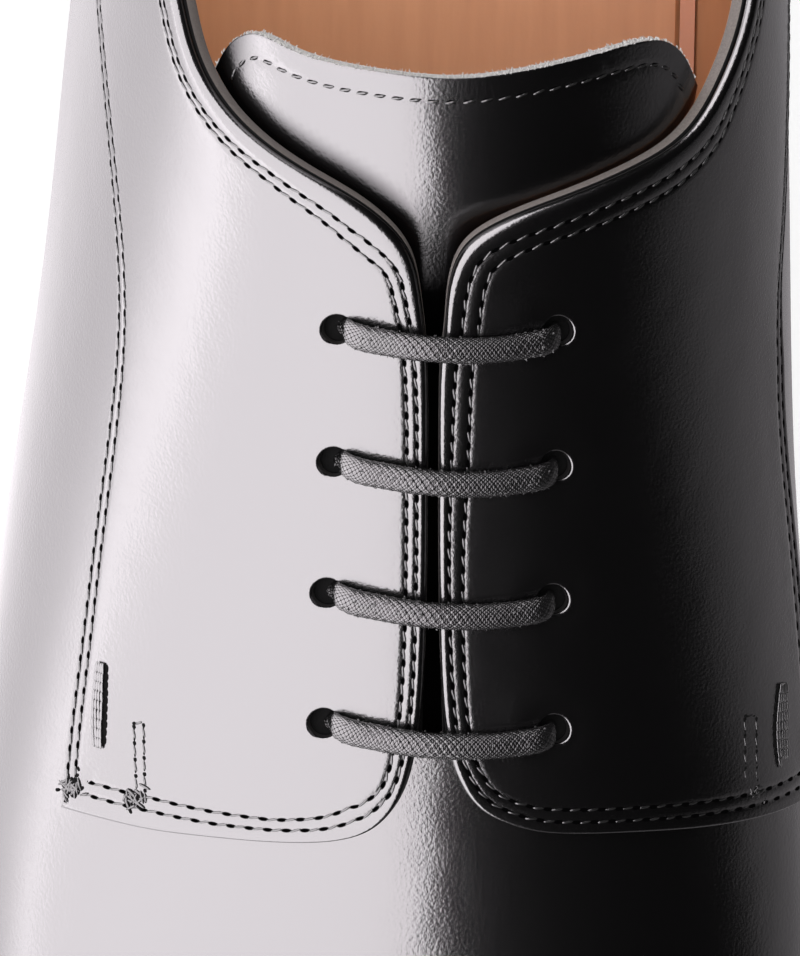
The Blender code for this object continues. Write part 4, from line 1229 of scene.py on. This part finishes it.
# %% [markdown]
# Polished calf is a black skin under wax. Its base is nearly black, and all that is seen of it is
# the mirror of the room in the wax, so the coat and the fine grain under it carry the look. The
# shade in the needle holes is painted in the material, as the sheet knows how far each point lies
# from its row: the coat is taken off there. The tongue's coat is taken off as painted shade too,
# where the facings and the collar shade it.

# %% Materials of the upper
# Size and soft rim of the painted shade round each needle hole
NEEDLE_HOLE_LONG, NEEDLE_HOLE_WIDE = 0.6, 0.24
HOLE_RIM_SOFT = (0.8, 1.15)
# Painted shade: where the raw edge turns dark toward the outer side
RAW_EDGE_SIDE_SHADE = (-0.012, 0.006)


class Paint:
    """The nodes of one material, with a method for each step of its recipe."""

    def __init__(self, material, **values):
        material.use_nodes = True
        self.nodes, self.links = material.node_tree.nodes, material.node_tree.links
        self.shader = self.nodes["Principled BSDF"]
        for key, value in values.items():
            socket = self.shader.inputs[key.replace("_", " ").title().replace("Ior", "IOR")]
            socket.default_value = (*value, 1) if isinstance(value, tuple) else value

    def put(self, socket, value):
        """Links a value to a socket, or to the shader's socket of that name."""
        self.links.new(value, self.shader.inputs[socket] if isinstance(socket, str) else socket)

    def place(self):
        return self.nodes.new("ShaderNodeTexCoord").outputs["Object"]

    def axes(self):
        """The piece's own X, Y and Z, each as a value."""
        apart = self.nodes.new("ShaderNodeSeparateXYZ")
        self.put(apart.inputs["Vector"], self.place())
        return apart.outputs

    def attribute(self, name):
        node = self.nodes.new("ShaderNodeAttribute")
        node.attribute_name = name
        return node.outputs["Fac"]

    def maths(self, operation, *inputs):
        node = self.nodes.new("ShaderNodeMath")
        node.operation = operation
        for socket, value in zip(node.inputs, inputs):
            if isinstance(value, (int, float)):
                socket.default_value = value
            else:
                self.put(socket, value)
        return node.outputs[0]

    def times(self, one, other):
        return self.maths("MULTIPLY", one, other)

    def band(self, value, low, high, to_low=0.0, to_high=1.0):
        """A soft step from one number to another, while the value goes from low to high."""
        node = self.nodes.new("ShaderNodeMapRange")
        node.interpolation_type = "SMOOTHSTEP"
        for socket, number in zip(node.inputs[1:5], (low, high, to_low, to_high)):
            socket.default_value = number
        self.put(node.inputs[0], value)
        return node.outputs[0]

    def noise(self, scale, detail, roughness=0.55, stretch_by=None):
        node = self.nodes.new("ShaderNodeTexNoise")
        for name, number in (("Scale", scale), ("Detail", detail), ("Roughness", roughness)):
            node.inputs[name].default_value = number
        place = self.place()
        if stretch_by is not None:
            mapping = self.nodes.new("ShaderNodeMapping")
            mapping.inputs["Scale"].default_value = stretch_by
            self.put(mapping.inputs["Vector"], place)
            place = mapping.outputs["Vector"]
        self.put(node.inputs["Vector"], place)
        return node.outputs["Fac"]

    def wave(self, direction, scale, distortion):
        node = self.nodes.new("ShaderNodeTexWave")
        node.bands_direction = direction
        node.inputs["Scale"].default_value = scale
        node.inputs["Distortion"].default_value = distortion
        self.put(node.inputs["Vector"], self.place())
        return node.outputs["Fac"]

    def ramp(self, share, dark, light):
        node = self.nodes.new("ShaderNodeValToRGB")
        for element, colour in zip(node.color_ramp.elements, (dark, light)):
            element.color = (*colour, 1)
        self.put(node.inputs["Fac"], share)
        return node.outputs["Color"]

    def bump(self, height, strength, deep_mm, under=None):
        node = self.nodes.new("ShaderNodeBump")
        node.inputs["Strength"].default_value = strength
        node.inputs["Distance"].default_value = deep_mm * MM
        self.put(node.inputs["Height"], height)
        if under is not None:
            self.put(node.inputs["Normal"], under)
        return node.outputs["Normal"]

    def grain(self, scale, detail, strength, deep_mm, roughness=0.55, under=None):
        """Bumps of noise, the last step of most skins."""
        return self.bump(self.noise(scale, detail, roughness), strength, deep_mm, under)


paint = Paint(calf, base_color=(0.0012, 0.0011, 0.0012), roughness=0.25, coat_roughness=0.15)
# Painted shade in the needle holes: the coat and the mirror fade out round each hole of a stitch row,
# which shows as a dark dot
phase = paint.maths("FRACT", paint.maths("ADD", paint.attribute("row_phase"), 0.5))
ahead = paint.times(paint.maths("SUBTRACT", phase, 0.5), STITCH_PITCH)
ahead = paint.maths("DIVIDE", ahead, NEEDLE_HOLE_LONG)
aside = paint.maths("DIVIDE", paint.attribute("row_mm"), NEEDLE_HOLE_WIDE)
square = paint.maths("ADD", paint.times(aside, aside), paint.times(ahead, ahead))
clear_of_hole_shade = paint.band(paint.maths("SQRT", square), *HOLE_RIM_SOFT)
# Painted shade on the tongue: its coat is taken off where it lies in shade
gloss_outside_painted_shade = paint.times(clear_of_hole_shade, paint.maths("SUBTRACT", 1.0, paint.attribute("tongue_painted_shade")))
paint.put("Coat Weight", gloss_outside_painted_shade)
paint.put("Specular IOR Level", paint.times(gloss_outside_painted_shade, 0.5))
pebbles = paint.grain(2700.0, 2.5, strength=0.42, deep_mm=0.07, roughness=0.5)
creases = paint.grain(160.0, 1.0, strength=0.14, deep_mm=0.5, roughness=0.4, under=pebbles)
paint.put("Normal", creases)
paint.put("Coat Normal", creases)

paint = Paint(cut_edge, base_color=(0.012, 0.011, 0.011), roughness=0.4)
paint.put("Normal", paint.grain(4200.0, 5.0, strength=0.5, deep_mm=0.08))

paint = Paint(raw_calf, roughness=0.9)
# Painted shade: the raw edge of the lining is darker on the outer side, where its cut faces away from the
# light
lit_side = paint.band(paint.axes()["X"], *RAW_EDGE_SIDE_SHADE, 0.22, 1.0)
rough = paint.times(paint.noise(3600.0, 6.0, 0.7), lit_side)
paint.put("Base Color", paint.ramp(rough, (0.035, 0.028, 0.024), (0.17, 0.145, 0.13)))
paint.put("Normal", paint.grain(3000.0, 5.0, strength=0.7, deep_mm=0.15, roughness=0.7))

# Matte black for the flesh side of the lining and for the painted shade
for matte_black_leather, roughness in ((flesh_side, 0.9), (painted_shade_black, 1.0)):
    paint = Paint(
        matte_black_leather, base_color=(0.003, 0.003, 0.003), roughness=roughness,
        specular_ior_level=0.05,
    )
    paint.put("Normal", paint.grain(2400.0, 4.0, strength=0.5, deep_mm=0.1))

paint = Paint(raw_edge, roughness=0.95, sheen_weight=0.4)
rough = paint.noise(4200.0, 6.0, 0.75)
paint.put("Base Color", paint.ramp(rough, (0.14, 0.135, 0.13), (0.5, 0.49, 0.48)))
paint.put("Normal", paint.grain(3600.0, 5.0, strength=0.8, deep_mm=0.2, roughness=0.7))

for hair, shade, coarse in ((fibre, (0.5, 0.49, 0.48), 0.9), (lint, (0.02, 0.02, 0.02), 0.6)):
    paint = Paint(hair, base_color=shade, roughness=coarse)
    paint.put("Normal", paint.grain(9000.0, 2.0, strength=0.3, deep_mm=0.02))

paint = Paint(thread, base_color=(0.006, 0.006, 0.006), roughness=0.32, specular_ior_level=0.7)
plies = paint.wave("DIAGONAL", scale=900.0, distortion=2.0)
paint.put("Normal", paint.bump(plies, strength=0.45, deep_mm=0.05))

paint = Paint(
    tack_thread, base_color=(0.01, 0.01, 0.01), roughness=0.28, coat_weight=1.0,
    coat_roughness=0.2,
)
paint.put("Normal", paint.grain(3000.0, 2.0, strength=0.35, deep_mm=0.04))

# %% [markdown]
# The lace is waxed cotton, plaited from fine threads. Its relief is in the mesh, and the dark specks
# between the threads are painted shade, placed by the place and the lane that the tube wrote on each
# point.

# %% Materials of the lace and the lining
WEAVE_PITCH = 0.45

paint = Paint(braid, base_color=(0.005, 0.0048, 0.005), roughness=0.26, coat_roughness=0.16)
onward = paint.times(paint.attribute("place"), math.pi / WEAVE_PITCH)
round_it = paint.times(paint.attribute("lane"), math.pi * 2 * BRAID_STRANDS)
threads = [
    paint.maths("ABSOLUTE", paint.maths("SINE", paint.maths(way, onward, round_it)))
    for way in ("ADD", "SUBTRACT")
]
weave = paint.times(*threads)
plait = paint.bump(weave, strength=0.45, deep_mm=0.12)
paint.put("Normal", paint.grain(6000.0, 4.0, strength=0.5, deep_mm=0.05, under=plait))
# Painted shade: the coat and the mirror are taken off in the crevices between the strands
outside_crevice_shade = paint.band(weave, 0.02, 0.3)
paint.put("Coat Weight", paint.times(outside_crevice_shade, 0.75))
paint.put("Specular IOR Level", paint.times(outside_crevice_shade, 0.42))

paint = Paint(sock_leather, base_color=(0.44, 0.165, 0.075), roughness=0.6)
paint.put("Normal", paint.grain(2600.0, 3.0, strength=0.3, deep_mm=0.05))

paint = Paint(lining_leather, roughness=0.55, specular_ior_level=0.3)
clouds = paint.noise(60.0, 5.0, 0.5, stretch_by=(9.0, 1.0, 1.0))
paint.put("Base Color", paint.ramp(clouds, (0.43, 0.185, 0.083), (0.60, 0.285, 0.138)))
paint.put("Normal", paint.grain(2600.0, 4.0, strength=0.25, deep_mm=0.05))

# %% [markdown]
# The welt, sole and heel are stacked leather, blackened and waxed, on a rubber top piece. They
# keep their solids. The layers of the heel are lines across its edge, which a wave by height draws.

# %% Materials of the sole
HEEL_LAYERS = 62.0


def edge_stain(name, colour, roughness, layers=0.0):
    """Blackened leather edge, with the lines of its layers if there are any."""
    material = named(name)
    paint = Paint(
        material, base_color=colour, roughness=roughness, specular_ior_level=0.22,
        coat_weight=0.1, coat_roughness=0.3,
    )
    normal = paint.grain(900.0, 5.0, strength=0.3, deep_mm=0.2, roughness=0.6)
    if layers:
        lines = paint.wave("Z", scale=layers, distortion=0.3)
        normal = paint.bump(lines, strength=0.5, deep_mm=0.4, under=normal)
    paint.put("Normal", normal)
    return material


rubber = named("top piece rubber")
paint = Paint(rubber, base_color=(0.012, 0.012, 0.012), roughness=0.65)
paint.put("Normal", paint.grain(1300.0, 3.0, strength=0.35, deep_mm=0.1))
for name, material in (
    ("welt", edge_stain("welt leather", (0.014, 0.013, 0.0125), 0.42)),
    ("outsole", edge_stain("sole edge", (0.012, 0.011, 0.0105), 0.34)),
    ("heel", edge_stain("stacked heel", (0.012, 0.011, 0.0105), 0.34, HEEL_LAYERS)),
    ("insole", lining_leather),
    ("top_piece", rubber),
):
    solid = bpy.data.objects[name]
    solid.data.materials.clear()
    solid.data.materials.append(material)

# %% [markdown]
# The light is that of a catalogue picture: a white floor, a soft even light that the wax does not
# mirror, and a white dome on the outer side alone that it does. The line between lit and dark
# runs down the ridge of the instep, because the dome ends straight above it.

# %% Floor and lights
DOME_RADIUS, DOME_PAST = 3.0, math.radians(0.5)
ZENITH_GLOW, HORIZON_GLOW = 8.8, 7.7
GLOW_TINT = (1.0, 0.945, 0.985, 1)
CARD_RISE, CARD_REACH, FLOOR_GLOW = 0.002, 3.0, 0.22
WHITE_CARD_GLOW, WHITE_CARD_NEAR = 8.6, 0.34
CARD_TURN, CARD_TOWARD_TOE = 0.06, 1.6
BLACK_CARD_GLOW, BLACK_CARD_NEAR = 0.36, 0.25
EVEN_GLOW, EVEN_SIZE, EVEN_HIGH = 2.9, 4.0, 2.4
ROOM_GLOW = (0.006, 0.006, 0.006, 1)

bpy.ops.object.select_all(action="DESELECT")
bpy.ops.mesh.primitive_plane_add(size=8.0, location=(0, 0, 0))
floor = bpy.context.object
floor.name = "floor"
floor_paint = named("floor paint")
Paint(
    floor_paint, base_color=(0.93, 0.93, 0.93), roughness=0.8, emission_color=(1.0, 1.0, 1.0),
    emission_strength=FLOOR_GLOW,
)
floor.data.materials.append(floor_paint)

bpy.ops.object.select_all(action="DESELECT")
bpy.ops.mesh.primitive_uv_sphere_add(segments=64, ring_count=32, radius=DOME_RADIUS)
dome = bpy.context.object
dome.name = "dome"
bpy.ops.object.mode_set(mode="EDIT")
bpy.ops.mesh.select_all(action="SELECT")
bpy.ops.mesh.bisect(plane_co=(0, 0, 0.001), plane_no=(0, 0, -1), clear_outer=True)
bpy.ops.mesh.select_all(action="SELECT")
bpy.ops.mesh.bisect(
    plane_co=(0, 0, 0), plane_no=(math.cos(DOME_PAST), 0, -math.sin(DOME_PAST)), clear_outer=True
)
bpy.ops.object.mode_set(mode="OBJECT")


def glowing(name):
    """A material that only shines, its paint, and the socket that sets how brightly."""
    material = named(name)
    paint = Paint(material)
    paint.nodes.remove(paint.shader)
    emission = paint.nodes.new("ShaderNodeEmission")
    emission.inputs["Color"].default_value = GLOW_TINT
    paint.put(paint.nodes["Material Output"].inputs["Surface"], emission.outputs["Emission"])
    return material, paint, emission.inputs["Strength"]


def only_mirrored(obj, material):
    obj.data.materials.append(material)
    obj.visible_diffuse, obj.visible_camera, obj.visible_shadow = False, False, False


glow, paint, strength = glowing("dome glow")
height = paint.axes()["Z"]
paint.put(strength, paint.band(height, 0.0, DOME_RADIUS / 2, HORIZON_GLOW, ZENITH_GLOW))
only_mirrored(dome, glow)


def floor_card(name, side, shine, near, falls):
    """A card beside the shoe that only the wax sees: it goes on where the dome ends."""
    bpy.ops.object.select_all(action="DESELECT")
    bpy.ops.mesh.primitive_plane_add(size=1.0, location=(0, 0, 0))
    card = bpy.context.object
    card.name = name
    bpy.ops.transform.resize(value=(CARD_REACH, 2 * CARD_REACH, 1))
    bpy.ops.transform.translate(value=(side * CARD_REACH / 2, 0, CARD_RISE))
    bpy.ops.object.transform_apply(location=True, rotation=True, scale=True)
    material, paint, strength = glowing(name + " glow")
    axes = paint.axes()
    away = paint.times(axes["X"], float(side))
    share = paint.maths("DIVIDE", near if falls else away, paint.maths("ADD", away, near))
    to_toe = paint.band(axes["Y"], -CARD_TURN, CARD_TURN, CARD_TOWARD_TOE, 1.0)
    paint.put(strength, paint.times(paint.times(share, shine), to_toe))
    only_mirrored(card, material)


floor_card("white card", -1, WHITE_CARD_GLOW, WHITE_CARD_NEAR, falls=False)
floor_card("black card", 1, BLACK_CARD_GLOW, BLACK_CARD_NEAR, falls=True)

lamp = bpy.data.lights.new("even light", "AREA")
lamp.size = EVEN_SIZE
lamp.energy = EVEN_GLOW * math.pi * EVEN_SIZE**2
even = in_scene("even light", lamp)
even.location = (0, 0, EVEN_HIGH)
even.visible_glossy, even.visible_camera = False, False

world = bpy.data.worlds.new("world")
bpy.context.scene.world = world
world.use_nodes = True
world.node_tree.nodes["Background"].inputs["Color"].default_value = ROOM_GLOW
bpy.context.scene.view_settings.view_transform = "Standard"
bpy.context.scene.view_settings.look = "None"
